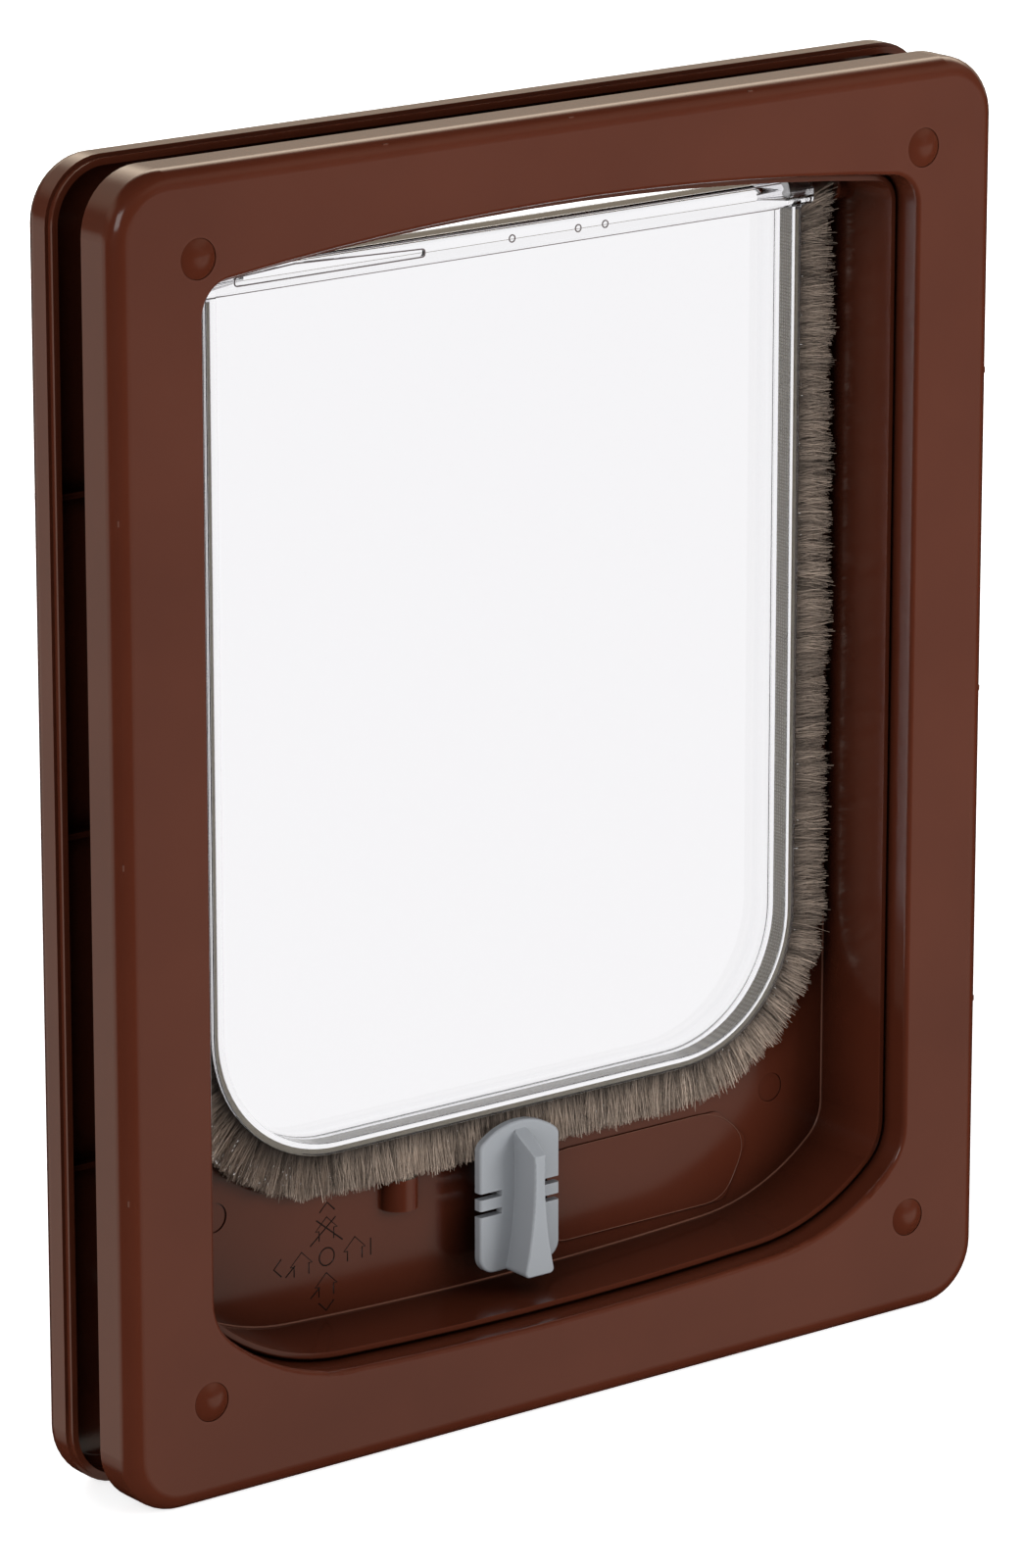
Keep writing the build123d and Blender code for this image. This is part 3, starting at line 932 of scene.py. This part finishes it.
@dataclass
class BrushSeal:
    """Brush strip round the flap: woven tape in the groove, and the fibre pile in three lengths."""

    flap_half_w: float = 99.0
    flap_low: float = 77.5
    flap_corner_r: float = 40.0
    flap_mid_z: float = 200.0
    root_in: float = 0.5
    tape_in: Point2 = (1.72, 0.45)
    tape_depths: Point2 = (27.55, 32.25)
    top: float = 314.2
    near: float = 27.9
    far: float = 31.9
    fibre_len: float = 13.3
    shortest: float = 0.84
    low_share: float = 0.96
    low_from: float = -0.2
    root_w: float = 0.09
    tip_w: float = 0.05
    per_square_mm: float = 14.4
    bend: float = 5.5
    droop: float = 0.8
    flare: float = 4.0
    flare_from: float = 9.0
    splay: float = 0.2
    clump: float = 240.0
    tone_clump: float = 750.0
    tone_spread: float = 0.3
    corner_steps: int = 16
    seed: int = 7
    size_seed: int = 11
    lean_seed: int = 23
    tone_seed: int = 31

    def outline(self, inset: float) -> List[Point2]:
        """Front view line inside the flap's edge, from the top right round the bottom to the top left.

        Args:
            inset: Distance inside the flap's edge.

        Returns:
            The line's points: half of them lie on the right side and its corner.
        """
        half, low, radius = self.flap_half_w - inset, self.flap_low + inset, self.flap_corner_r - inset
        right = [(half, self.top), (half, low + radius)]
        for step in range(1, self.corner_steps + 1):
            turn = math.radians(90.0 * step / self.corner_steps)
            right.append((half - radius + radius * math.cos(turn), low + radius - radius * math.sin(turn)))
        return right + [(-x, z) for x, z in reversed(right)]

    def root_paths(self) -> Dict[str, List[Point2]]:
        """Paths of the fibre roots.

        Returns:
            The path down each side with its corner, and the one along the bottom, by piece name.
        """
        path = self.outline(self.root_in)
        half = len(path) // 2
        return {"pile_right": path[:half], "pile_bottom": path[half - 1 : half + 1], "pile_left": path[half:]}

    def tape(self) -> bpy.types.Object:
        """Builds the backing tape, just clear of the groove's walls, and sets it in for the plain one.

        Returns:
            The tape.
        """
        inner, outer = (self.outline(inset) for inset in self.tape_in)
        near, far = self.tape_depths
        verts = []
        for (in_x, in_z), (out_x, out_z) in zip(inner, outer):
            verts += [at(in_x, near, in_z), at(in_x, far, in_z)]
            verts += [at(out_x, far, out_z), at(out_x, near, out_z)]
        faces = [(0, 1, 2, 3), tuple(len(verts) - 1 - index for index in range(4))]
        for first in range(0, len(verts) - 4, 4):
            for side in range(4):
                following = (side + 1) % 4
                faces.append((first + side, first + following, first + 4 + following, first + 4 + side))
        mesh = bpy.data.meshes.new("backing_tape")
        mesh.from_pydata(verts, [], faces)
        tape = link_mesh("backing_tape", mesh)
        dress(tape, TAPE.build())
        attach(tape, Body.FLAP.value)
        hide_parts("pile_backing")
        LOG.info("built %s", tape.name)
        return tape

    def root_strip(self, path: Sequence[Point2]) -> bpy.types.Mesh:
        """Strip that fibres grow from, facing outwards.

        Args:
            path: Front view points of the strip.

        Returns:
            The strip's mesh.
        """
        verts = [at(x, depth, z) for x, z in path for depth in (self.near, self.far)]
        faces = [(2 * i, 2 * i + 1, 2 * i + 3, 2 * i + 2) for i in range(len(path) - 1)]
        mesh = bpy.data.meshes.new("pile_roots")
        mesh.from_pydata(verts, [], faces)
        centre = at(0.0, (self.near + self.far) / 2, self.flap_mid_z)
        if mesh.polygons[0].normal.dot(mesh.polygons[0].center - centre) < 0:
            mesh.flip_normals()
        return mesh

    def strand(self, graph: Graph, given: bpy.types.NodeOutputs) -> Socket:
        """One straight fibre, which keeps how far along it each point lies.

        Args:
            graph: Graph of the fibres' tree.
            given: Values of the tree's inputs.

        Returns:
            The fibre.
        """
        cone = graph.node("GeometryNodeMeshCone", {"fill_type": "NONE"}, Vertices=3, Side_Segments=2)
        graph.fill(cone, Radius_Top=given["Tip Radius"], Radius_Bottom=given["Root Radius"])
        graph.fill(cone, Depth=given["Length"])
        spot = graph.node("GeometryNodeInputPosition").outputs[0]
        height = graph.node("ShaderNodeSeparateXYZ", Vector=spot).outputs["Z"]
        along = graph.math("DIVIDE", height, given["Length"])
        return graph.stored(cone.outputs["Mesh"], "POINT", "along", along)

    def planted(self, graph: Graph, given: bpy.types.NodeOutputs, strand: Socket) -> Socket:
        """Fibres on the strip, each with a length, a lean and a tone of its own.

        Args:
            graph: Graph of the fibres' tree.
            given: Values of the tree's inputs.
            strand: One straight fibre.

        Returns:
            The fibres as a real mesh.
        """
        spread = {"distribute_method": "RANDOM"}
        roots = graph.node("GeometryNodeDistributePointsOnFaces", spread, Mesh=given["Geometry"])
        graph.fill(roots, Density=given["Density"], Seed=given["Seed"])
        size = graph.node("FunctionNodeRandomValue", {"data_type": "FLOAT"}, Seed=self.size_seed)
        graph.feed(size.inputs[2], self.shortest)
        graph.feed(size.inputs[3], 1.0)
        tilt = graph.node("FunctionNodeRandomValue", {"data_type": "FLOAT_VECTOR"}, Seed=self.lean_seed)
        graph.feed(tilt.inputs[0], (-1.0, -1.0, -1.0))
        graph.feed(tilt.inputs[1], (1.0, 1.0, 1.0))
        lean = graph.vector("SCALE", tilt.outputs[0], given["Splay"])
        turn = graph.node("FunctionNodeEulerToRotation", Euler=lean).outputs[0]
        spun = graph.node("FunctionNodeRotateRotation", {"rotation_space": "LOCAL"}, Rotate_By=turn)
        graph.fill(spun, Rotation=roots.outputs["Rotation"])
        facing = graph.node("ShaderNodeSeparateXYZ", Vector=roots.outputs["Normal"]).outputs["Z"]
        share = graph.span(facing, -1.0, self.low_from, given["Low Share"], 1.0)
        sprouts = graph.node("GeometryNodeInstanceOnPoints", Points=roots.outputs["Points"], Instance=strand)
        graph.fill(sprouts, Rotation=spun.outputs[0], Scale=graph.product(size.outputs[1], share))
        spot = graph.node("GeometryNodeInputPosition").outputs[0]
        tufts = graph.node("ShaderNodeTexNoise", Vector=spot, Scale=given["Tone Scale"], Detail=1.0)
        own = graph.node("FunctionNodeRandomValue", {"data_type": "FLOAT"}, Seed=self.tone_seed)
        apart = graph.product(graph.math("SUBTRACT", own.outputs[1], 0.5), self.tone_spread)
        tone = graph.math("ADD", tufts.outputs["Fac"], apart)
        toned = graph.stored(sprouts.outputs[0], "INSTANCE", "tone", tone)
        return graph.node("GeometryNodeRealizeInstances", Geometry=toned).outputs[0]

    def bent(self, graph: Graph, given: bpy.types.NodeOutputs, fibres: Socket) -> Socket:
        """Fibres that sway in clumps, droop at their tips and flare upwards near the strip's top.

        Args:
            graph: Graph of the fibres' tree.
            given: Values of the tree's inputs.
            fibres: Straight fibres.

        Returns:
            The bent fibres.
        """
        spot = graph.node("GeometryNodeInputPosition").outputs[0]
        clouds = graph.node("ShaderNodeTexNoise", Vector=spot, Scale=given["Clump Scale"], Detail=3.0)
        lean = graph.vector("SUBTRACT", clouds.outputs["Color"], (0.5, 0.5, 0.5))
        along = graph.node("GeometryNodeInputNamedAttribute", {"data_type": "FLOAT"}, Name="along").outputs[0]
        square = graph.product(along, along)
        sway = graph.vector("SCALE", lean, graph.product(square, given["Bend"]))
        level = graph.node("ShaderNodeSeparateXYZ", Vector=spot).outputs["Z"]
        near_top = graph.span(level, given["Flare Start"], given["Flare End"])
        lift = graph.product(along, near_top, given["Flare"])
        fall = graph.math("SUBTRACT", lift, graph.product(square, given["Droop"]))
        drop = graph.node("ShaderNodeCombineXYZ", Z=fall).outputs[0]
        shift = graph.vector("ADD", sway, drop)
        return graph.node("GeometryNodeSetPosition", Geometry=fibres, Offset=shift).outputs[0]

    def fibre_tree(self, values: Dict[str, object]) -> Tree:
        """Geometry Nodes tree that grows bent fibres on a strip.

        Args:
            values: Values that its inputs will have, by name.

        Returns:
            The tree.
        """
        kinds = {float: Kind.NUMBER, int: Kind.WHOLE, bpy.types.Material: Kind.MATERIAL}
        graph, given = node_tree("brush_fibres", {name: kinds[type(value)] for name, value in values.items()})
        fibres = self.planted(graph, given, self.strand(graph, given))
        fibres = self.bent(graph, given, fibres)
        done = graph.node("GeometryNodeSetMaterial", Geometry=fibres, Material=given["Material"])
        graph.node("NodeGroupOutput", Geometry=done.outputs[0])
        return graph.tree

    def build(self) -> List[bpy.types.Object]:
        """Grows the three lengths of pile and sets them in for the plain solid.

        Returns:
            The lengths of pile.
        """
        values = {
            "Density": self.per_square_mm / MM**2,
            "Length": self.fibre_len * MM,
            "Low Share": self.low_share,
            "Root Radius": self.root_w * MM,
            "Tip Radius": self.tip_w * MM,
            "Bend": self.bend * MM,
            "Droop": self.droop * MM,
            "Flare": self.flare * MM,
            "Flare Start": (self.top - self.flare_from) * MM,
            "Flare End": self.top * MM,
            "Splay": self.splay,
            "Clump Scale": self.clump,
            "Tone Scale": self.tone_clump,
            "Seed": self.seed,
            "Material": PILE.build(),
        }
        tree = self.fibre_tree(values)
        lengths = []
        for name, path in self.root_paths().items():
            holder = link_mesh("pile_roots", self.root_strip(path))
            modifier = holder.modifiers.new("fibres", "NODES")
            modifier.node_group = tree
            for label, value in values.items():
                set_input(modifier, label, value)
            pile = baked(holder, name)
            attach(pile, Body.FLAP.value)
            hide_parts("brush_pile")
            lengths.append(pile)
            LOG.info("built %s: %d faces", pile.name, len(pile.data.polygons))
        return lengths


@dataclass
class ClearFlap:
    """Clear flap, with fine grey lines at its hinge bar's real edges, recess and mould marks; their grey is
    painted edge light of the clear plastic.
    """

    hinge_z: float = 318.7
    bar_front: float = 26.0
    bar_half_h: float = 3.7
    bar_edge_r: float = 2.0
    bar_ends: Point2 = (-98.0, 92.0)
    edge_rises: Point2 = (-3.6, 3.3)
    recess: Tuple[Point2, ...] = ((-90.0, -1.3), (-29.0, -1.2), (-29.0, 0.9), (-71.0, 2.3), (-90.0, 1.0))
    recess_corner: float = 1.0
    marks: Tuple[float, ...] = (-0.3, 21.8, 30.9)
    mark_r: float = 0.95
    mark_steps: int = 20
    line_r: float = 0.2

    def on_bar(self, x: float, rise: float) -> Vector:
        """Point on the bar's front, also where it rounds off towards its top and bottom.

        Args:
            x: Place across in millimetres.
            rise: Height above the hinge in millimetres.

        Returns:
            The point in metres.
        """
        over = max(0.0, abs(rise) - self.bar_half_h + self.bar_edge_r)
        back = self.bar_edge_r - math.sqrt(self.bar_edge_r**2 - over**2)
        return at(x, self.bar_front + back, self.hinge_z + rise)

    def lines(self) -> List[List[Vector]]:
        """Lines on the bar.

        Returns:
            Points of both edges, the recess and the round mould marks.
        """
        found = [[(x, rise) for x in self.bar_ends] for rise in self.edge_rises]
        found.append(rounded(self.recess, self.recess_corner))
        found += [round_line(x, 0.0, self.mark_r, self.mark_steps) for x in self.marks]
        return [[self.on_bar(x, rise) for x, rise in line] for line in found]

    def build(self) -> bpy.types.Object:
        """Builds the bar's lines as fine beads in its front face, in a grey that paints the light its edges
        reflect and bend.

        Returns:
            The beads as one object.
        """
        # Grey beads: painted edge light along the bar's real edges and marks.
        lines = line_piece("bar_lines", self.lines(), self.line_r)
        dress(lines, PAINTED_EDGE_LIGHT_GREY.build())
        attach(lines, Body.FLAP.value)
        LOG.info("built %s", lines.name)
        return lines

    def dress(self, nodes: Dict[str, bpy.types.Object], clear: bpy.types.Material) -> None:
        """Gives the flap its clear plastic."""
        dress(nodes["flap_panel"], clear)
        LOG.info("dressed flap_panel")


@dataclass
class TurnLock:
    """Grey turn knob, its cam behind the sill and the screw that holds them together."""

    axis_z: float = 58.0
    shank_near: float = 30.1
    shank_r: float = 1.25
    point_len: float = 0.8
    point_r: float = 0.3
    head_near: float = 38.9
    head_t: float = 1.1
    head_r: float = 3.0
    rim_t: float = 0.66
    crown_r: float = 2.34
    slot_len: float = 3.6
    slot_w: float = 0.75
    slot_deep: float = 0.6
    sides: int = 32
    plastics: Tuple[str, ...] = ("lock_knob", "lock_cam")

    def blank(self) -> bpy.types.Object:
        """Builds the screw before its recess is cut.

        Returns:
            The screw's point, shank and head.
        """
        profile = [(self.shank_near, self.point_r), (self.shank_near + self.point_len, self.shank_r)]
        profile += [(self.head_near, self.shank_r), (self.head_near, self.head_r)]
        profile += [(self.head_near + self.rim_t, self.head_r), (self.head_near + self.head_t, self.crown_r)]
        rings = [ring_points(depth, radius, self.axis_z, self.sides) for depth, radius in profile]
        return link_mesh("cam_screw_blank", joined_rings("cam_screw_blank", rings))

    def recess_cutter(self, long_x: float, long_z: float) -> bpy.types.Object:
        """Builds the block that cuts one arm of the cross recess.

        Args:
            long_x: Length across in millimetres.
            long_z: Height in millimetres.

        Returns:
            The block.
        """
        cut = bmesh.new()
        size = Matrix.Diagonal((long_x * MM, 2 * self.slot_deep * MM, long_z * MM, 1.0))
        place = Matrix.Translation(at(0.0, self.head_near + self.head_t, self.axis_z))
        bmesh.ops.create_cube(cut, size=1.0, matrix=place @ size)
        mesh = bpy.data.meshes.new("recess_cutter")
        cut.to_mesh(mesh)
        cut.free()
        return link_mesh("recess_cutter", mesh)

    def build(self, steel: bpy.types.Material) -> bpy.types.Object:
        """Builds the cam's screw with a cross recess in its head, and sets it in for the plain one.

        Args:
            steel: Plated steel material.

        Returns:
            The screw.
        """
        blank = self.blank()
        arms = ((self.slot_len, self.slot_w), (self.slot_w, self.slot_len))
        cutters = [self.recess_cutter(long_x, long_z) for long_x, long_z in arms]
        for cutter in cutters:
            modifier = blank.modifiers.new("recess", "BOOLEAN")
            modifier.object = cutter
            modifier.solver = "EXACT"
        screw = baked(blank, "cam_screw")
        for cutter in cutters:
            bpy.data.objects.remove(cutter)
        dress(screw, steel)
        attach(screw, Body.LOCK.value)
        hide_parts("lock_screw")
        LOG.info("built %s", screw.name)
        return screw

    def dress(self, nodes: Dict[str, bpy.types.Object], steel: bpy.types.Material) -> None:
        """Gives the knob and cam their grey plastic and the washer its steel.

        Args:
            nodes: The frame's nodes by name.
            steel: Plated steel material.
        """
        grey = GREY.build()
        for name in self.plastics:
            dress(nodes[name], grey)
            LOG.info("dressed %s", name)
        dress(nodes["lock_washer"], steel)
        LOG.info("dressed lock_washer")


@dataclass
class SillEdges:
    """Rounded edges on the sill plate, its foot along the tunnel and the label pad, in a paler brown that
    paints the highlight they catch.
    """

    floor_z: float = 25.4
    floor_end: Point2 = (72.0, 27.3)
    side_end: Point2 = (118.0, 49.0)
    corner_r: float = 16.0
    side_top: float = 110.0
    tunnel_inset: float = 2.6
    foot_r: float = 0.3
    foot_out: float = 0.6
    foot_depth: float = 32.9
    arc_steps: int = 12
    pad: Tuple[Point2, ...] = ((17.0, 60.0), (77.0, 60.0), (88.0, 50.0), (80.0, 33.5), (17.0, 33.5))
    pad_corner: float = 7.0
    pad_r: float = 0.16
    pad_depth: float = 32.55

    def foot(self) -> List[Point2]:
        """Front view line of the plate's foot.

        Returns:
            Points along the floor's arcs and up both sides of the tunnel.
        """
        inset = self.tunnel_inset + self.foot_r * self.foot_out
        end = Vector(self.floor_end)
        sag = end.y - self.floor_z
        floor_r = (end.x**2 + sag**2) / (2 * sag)
        slope = math.asin(end.x / floor_r)
        inward = Vector((-math.sin(slope), math.cos(slope)))
        chord = Vector(self.side_end) - end
        side_r = chord.length_squared / (2 * chord.dot(inward))
        centre = end + inward * side_r
        across = self.side_end[0] - self.corner_r
        drop = math.sqrt((side_r - self.corner_r) ** 2 - (across - centre.x) ** 2)
        corner = Vector((across, centre.y - drop))
        turn = math.atan2(corner.x - centre.x, centre.y - corner.y)
        arcs = [(Vector((0.0, self.floor_z + floor_r)), floor_r, 0.0, slope)]
        arcs += [(centre, side_r, slope, turn), (corner, self.corner_r, turn, math.pi / 2)]
        right: List[Point2] = []
        for middle, radius, first, last in arcs:
            for step in range(self.arc_steps + 1):
                angle = first + (last - first) * step / self.arc_steps
                spot = middle + Vector((math.sin(angle), -math.cos(angle))) * (radius - inset)
                right.append((spot.x, spot.y))
        right.append((right[-1][0], self.side_top))
        return [(-x, z) for x, z in reversed(right)] + right

    def build(self) -> List[bpy.types.Object]:
        """Builds the edges as fine beads in a paler brown, which is a painted highlight.

        Returns:
            The beads.
        """
        # Paler brown: painted highlight along the beads.
        brown = PAINTED_HIGHLIGHT_BROWN.build()
        pad = rounded(self.pad, self.pad_corner)
        lines = {
            "sill_foot": (self.foot(), self.foot_depth, self.foot_r),
            "pad_edge": (pad, self.pad_depth, self.pad_r),
        }
        beads = []
        for name, (line, depth, radius) in lines.items():
            bead = line_piece(name, [[at(x, depth, z) for x, z in line]], radius)
            dress(bead, brown)
            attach(bead, Body.FRAME.value)
            beads.append(bead)
            LOG.info("built %s", bead.name)
        return beads


@dataclass
class SillLegend:
    """Fine line signs on the sill plate that show the lock's four positions."""

    centre: Point2 = (-57.9, 46.2)
    ring_r: float = 2.5
    ring_steps: int = 24
    line_r: float = 0.24
    sunk: float = 0.45
    plate: float = 33.0
    house: Tuple[Point2, ...] = (
        (-2.5, -3.2),
        (-2.5, -0.4),
        (-3.7, -0.3),
        (0.0, 3.3),
        (3.5, -0.1),
        (2.4, -0.1),
        (2.4, -3.2),
    )
    house_places: Tuple[Point2, ...] = ((0.0, 8.0), (-8.4, -0.3), (9.4, 0.4), (-0.2, -7.8))
    arrow_head: Tuple[Point2, ...] = ((-2.5, -2.5), (0.0, 0.0), (2.5, -2.5))
    arrow_places: Tuple[Point3, ...] = ((0.2, 15.4, 0.0), (-17.6, 0.0, 90.0), (-0.3, -15.2, 180.0))
    strokes: Tuple[Tuple[Point2, Point2], ...] = (
        ((-5.5, 4.0), (3.0, 10.8)),
        ((-3.4, 10.9), (5.3, 3.8)),
        ((14.7, 2.2), (14.7, -2.6)),
        ((-13.7, -3.0), (-10.6, -0.4)),
        ((-5.5, -10.8), (-2.4, -8.3)),
    )

    def lines(self) -> List[List[Point2]]:
        """Front view lines of the whole sign.

        Returns:
            Points of the ring, the houses, the arrow heads and the single strokes.
        """
        cx, cz = self.centre
        signs = [round_line(0.0, 0.0, self.ring_r, self.ring_steps)]
        for dx, dz in self.house_places:
            signs.append([(dx + x, dz + z) for x, z in self.house])
        for dx, dz, degrees in self.arrow_places:
            cos, sin = math.cos(math.radians(degrees)), math.sin(math.radians(degrees))
            signs.append([(dx + x * cos - z * sin, dz + x * sin + z * cos) for x, z in self.arrow_head])
        signs += [list(stroke) for stroke in self.strokes]
        return [[(cx + x, cz + z) for x, z in sign] for sign in signs]

    def build(self) -> bpy.types.Object:
        """Builds the signs as fine lines, sunk in the plate to about their middle.

        Returns:
            The signs as one object.
        """
        depth = self.plate + self.line_r * self.sunk
        lines = [[at(x, depth, z) for x, z in line] for line in self.lines()]
        legend = line_piece("sill_legend", lines, self.line_r)
        dress(legend, LEGEND_BROWN.build())
        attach(legend, Body.FRAME.value)
        LOG.info("built %s", legend.name)
        return legend


@dataclass(frozen=True)
class Lamp:
    """Rectangular soft lamp: its place and size in metres, and whether it shows in glossy surfaces."""

    name: str
    place: Point3
    size: Point2
    watts: float
    shines: bool = False


@dataclass(frozen=True)
class Rays:
    """Masks of the kinds of ray that meet the stage."""

    camera: Socket
    diffuse: Socket
    through: Socket
    mirrored: Socket

    @classmethod
    def met(cls, graph: Graph) -> "Rays":
        """Sorts the rays of a stage material or of the world.

        Args:
            graph: Graph of the material or the world.

        Returns:
            The masks. A ray that went through the flap doesn't count as mirrored.
        """
        path = graph.node("ShaderNodeLightPath").outputs
        through = path["Is Transmission Ray"]
        mirrored = graph.product(path["Is Glossy Ray"], graph.math("SUBTRACT", 1.0, through))
        return cls(path["Is Camera Ray"], path["Is Diffuse Ray"], through, mirrored)


@dataclass
class Studio:
    """White floor and surround, soft lamps and the camera."""

    lens_px: float = 7528.0
    sensor: float = 36.0
    clip: Point2 = (0.05, 50.0)
    azimuth: float = 37.77
    pitch: float = 15.86
    aim: Point3 = (-5.4, 0.0, 172.2)
    distance: float = 1969.0
    floor_half: float = 6.0
    floor_white: Colour = (0.93, 0.93, 0.93, 1.0)
    floor_glow: float = 0.72
    floor_roughness: float = 0.9
    sky: float = 0.3
    behind: float = 1.05
    aside: float = 0.4
    aside_turn: Point2 = (0.2, 0.55)
    across: Point2 = (0.61, -0.79)
    across_turn: Point2 = (0.8, 0.92)
    right_glow: Point2 = (0.5, 0.36)
    right_reach: Point2 = (0.1, 1.3)
    left_glow: float = 0.7
    warm: Colour = (1.0, 0.9, 0.78, 1.0)
    band_glow: Point2 = (0.6, 3.2)
    band_foot: Point2 = (0.28, 0.45)
    band_top: Point2 = (0.62, 0.76)
    band_back: Point2 = (0.0, 0.3)
    band_right: Point2 = (0.0, 0.4)
    front_share: float = 0.1
    left_share: float = 0.2
    back_glow: Colour = (1.0, 0.84, 0.66, 1.0)
    lamp_aim: Point3 = (0.0, 0.0, 0.17)
    lamps: Tuple[Lamp, ...] = (
        Lamp("lamp_left", (-2.0, -0.9, 0.4), (1.0, 0.8), 10.5),
        Lamp("lamp_front_left", (-1.5, -1.1, 1.0), (0.8, 0.8), 6.0, shines=True),
        Lamp("lamp_front_right", (0.75, -0.95, 0.35), (0.7, 0.7), 9.0),
        Lamp("lamp_back", (0.7, 2.2, 0.8), (1.2, 1.0), 24.0),
        Lamp("lamp_over_back", (0.3, 1.6, 1.7), (2.0, 1.0), 8.0),
    )

    def floor(self) -> None:
        """Pale floor that keeps the object's shadow.

        A mirrored ray sees it glow only far to the left or right, as a soft haze on the brown faces. A ray
        through the clear flap sees it at one plain level.
        """
        half = self.floor_half
        mesh = bpy.data.meshes.new("floor")
        corners = [(-half, -half, 0.0), (half, -half, 0.0), (half, half, 0.0), (-half, half, 0.0)]
        mesh.from_pydata(corners, [], [(0, 1, 2, 3)])
        ground = link_mesh("floor", mesh)
        material, graph, shader = Finish.start("white_floor")
        rays = Rays.met(graph)
        incoming = graph.node("ShaderNodeNewGeometry").outputs["Incoming"]
        back = graph.node("ShaderNodeSeparateXYZ", Vector=incoming).outputs
        along_x = graph.product(back["X"], -self.across[0])
        along_y = graph.product(back["Y"], self.across[1])
        rightward = graph.math("SUBTRACT", along_x, along_y)
        place = graph.node("ShaderNodeTexCoord").outputs["Object"]
        away = graph.node("ShaderNodeVectorMath", {"operation": "LENGTH"}, Vector=place).outputs["Value"]
        fading = graph.span(away, *self.right_reach, *self.right_glow)
        right = graph.span(rightward, *self.across_turn, 0.0, fading)
        start, full = self.across_turn
        left = graph.span(rightward, -start, -full, 0.0, self.left_glow)
        glow = graph.product(rays.mirrored, graph.math("ADD", right, left))
        glow = graph.math("ADD", glow, graph.product(rays.camera, self.floor_glow))
        glow = graph.math("ADD", glow, graph.product(rays.through, self.behind))
        unlit = graph.math("MAXIMUM", rays.mirrored, rays.through)
        graph.fill(shader, Base_Color=graph.mix(unlit, self.floor_white, BLACK))
        graph.fill(shader, Emission_Color=graph.mix(rays.mirrored, WHITE, self.warm), Emission_Strength=glow)
        graph.fill(shader, Roughness=self.floor_roughness, Specular_IOR_Level=0.0)
        dress(ground, material)

    def surround(self) -> None:
        """White surround for the camera and the clear flap, and a plain sky for light.

        A mirrored ray sees a warm band part way up the sky, strongest behind and to the right.
        """
        world = bpy.data.worlds.new("surround")
        world.use_nodes = True
        world.node_tree.nodes.clear()
        graph = Graph(world.node_tree)
        rays = Rays.met(graph)
        heading = graph.node("ShaderNodeTexCoord").outputs["Generated"]
        way = graph.node("ShaderNodeSeparateXYZ", Vector=heading).outputs
        beyond = graph.span(graph.math("ABSOLUTE", way["Y"]), *self.aside_turn, self.aside, self.behind)
        band = graph.product(
            graph.span(way["Z"], *self.band_foot, *self.band_glow),
            graph.span(way["Z"], *self.band_top, 1.0, 0.0),
            graph.span(way["Y"], *self.band_back, self.front_share, 1.0),
            graph.span(way["X"], *self.band_right, self.left_share, 1.0),
        )
        seen = graph.math("ADD", rays.camera, graph.product(rays.mirrored, band))
        seen = graph.math("ADD", seen, graph.product(rays.through, beyond))
        strength = graph.math("ADD", seen, graph.product(rays.diffuse, self.sky))
        tint = graph.mix(rays.mirrored, WHITE, self.back_glow)
        sky = graph.node("ShaderNodeBackground", Color=tint, Strength=strength)
        graph.node("ShaderNodeOutputWorld", Surface=sky.outputs[0])
        bpy.context.scene.world = world

    def light(self, lamp: Lamp) -> None:
        """Adds a soft lamp that faces the object.

        Args:
            lamp: The lamp.
        """
        light = bpy.data.lights.new(lamp.name, "AREA")
        light.shape = "RECTANGLE"
        light.size, light.size_y = lamp.size
        light.energy = lamp.watts
        holder = bpy.data.objects.new(lamp.name, light)
        holder.location = lamp.place
        holder.visible_glossy = lamp.shines
        holder.visible_transmission = False
        towards = Vector(self.lamp_aim) - holder.location
        holder.rotation_euler = towards.to_track_quat("-Z", "Y").to_euler()
        bpy.context.scene.collection.objects.link(holder)

    def camera(self) -> None:
        """Camera at the photograph's view, for an image of 1046 by 1600."""
        turn, tilt = math.radians(self.azimuth), math.radians(self.pitch)
        forward = Vector((math.sin(turn) * math.cos(tilt), math.cos(turn) * math.cos(tilt), -math.sin(tilt)))
        camera = bpy.data.cameras.new("camera")
        camera.sensor_fit = "VERTICAL"
        camera.sensor_height = self.sensor
        camera.lens = self.lens_px * self.sensor / PHOTO_H
        camera.clip_start, camera.clip_end = self.clip
        holder = bpy.data.objects.new("camera", camera)
        holder.location = Vector(self.aim) * MM - forward * self.distance * MM
        holder.rotation_euler = forward.to_track_quat("-Z", "Y").to_euler()
        bpy.context.scene.collection.objects.link(holder)
        bpy.context.scene.camera = holder

    def build(self) -> None:
        """Builds the whole studio."""
        self.floor()
        self.surround()
        for lamp in self.lamps:
            self.light(lamp)
        self.camera()
        LOG.info("built studio")


def main() -> None:
    """Builds the door's pieces in order, dresses the frame's nodes and sets up the studio."""
    scene = bpy.context.scene
    scene.view_settings.view_transform = "Standard"
    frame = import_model()
    nodes = frame["nodes"]
    steel = STEEL.build()
    clear = CLEAR.build()
    TrimFrames().dress(nodes)
    screws = FixingScrews()
    screws.build(steel)
    screws.dress(nodes, steel)
    seal = BrushSeal()
    seal.tape()
    seal.build()
    flap = ClearFlap()
    flap.build()
    flap.dress(nodes, clear)
    lock = TurnLock()
    lock.build(steel)
    lock.dress(nodes, steel)
    SillEdges().build()
    SillLegend().build()
    Studio().build()


if __name__ == "__main__":
    main()
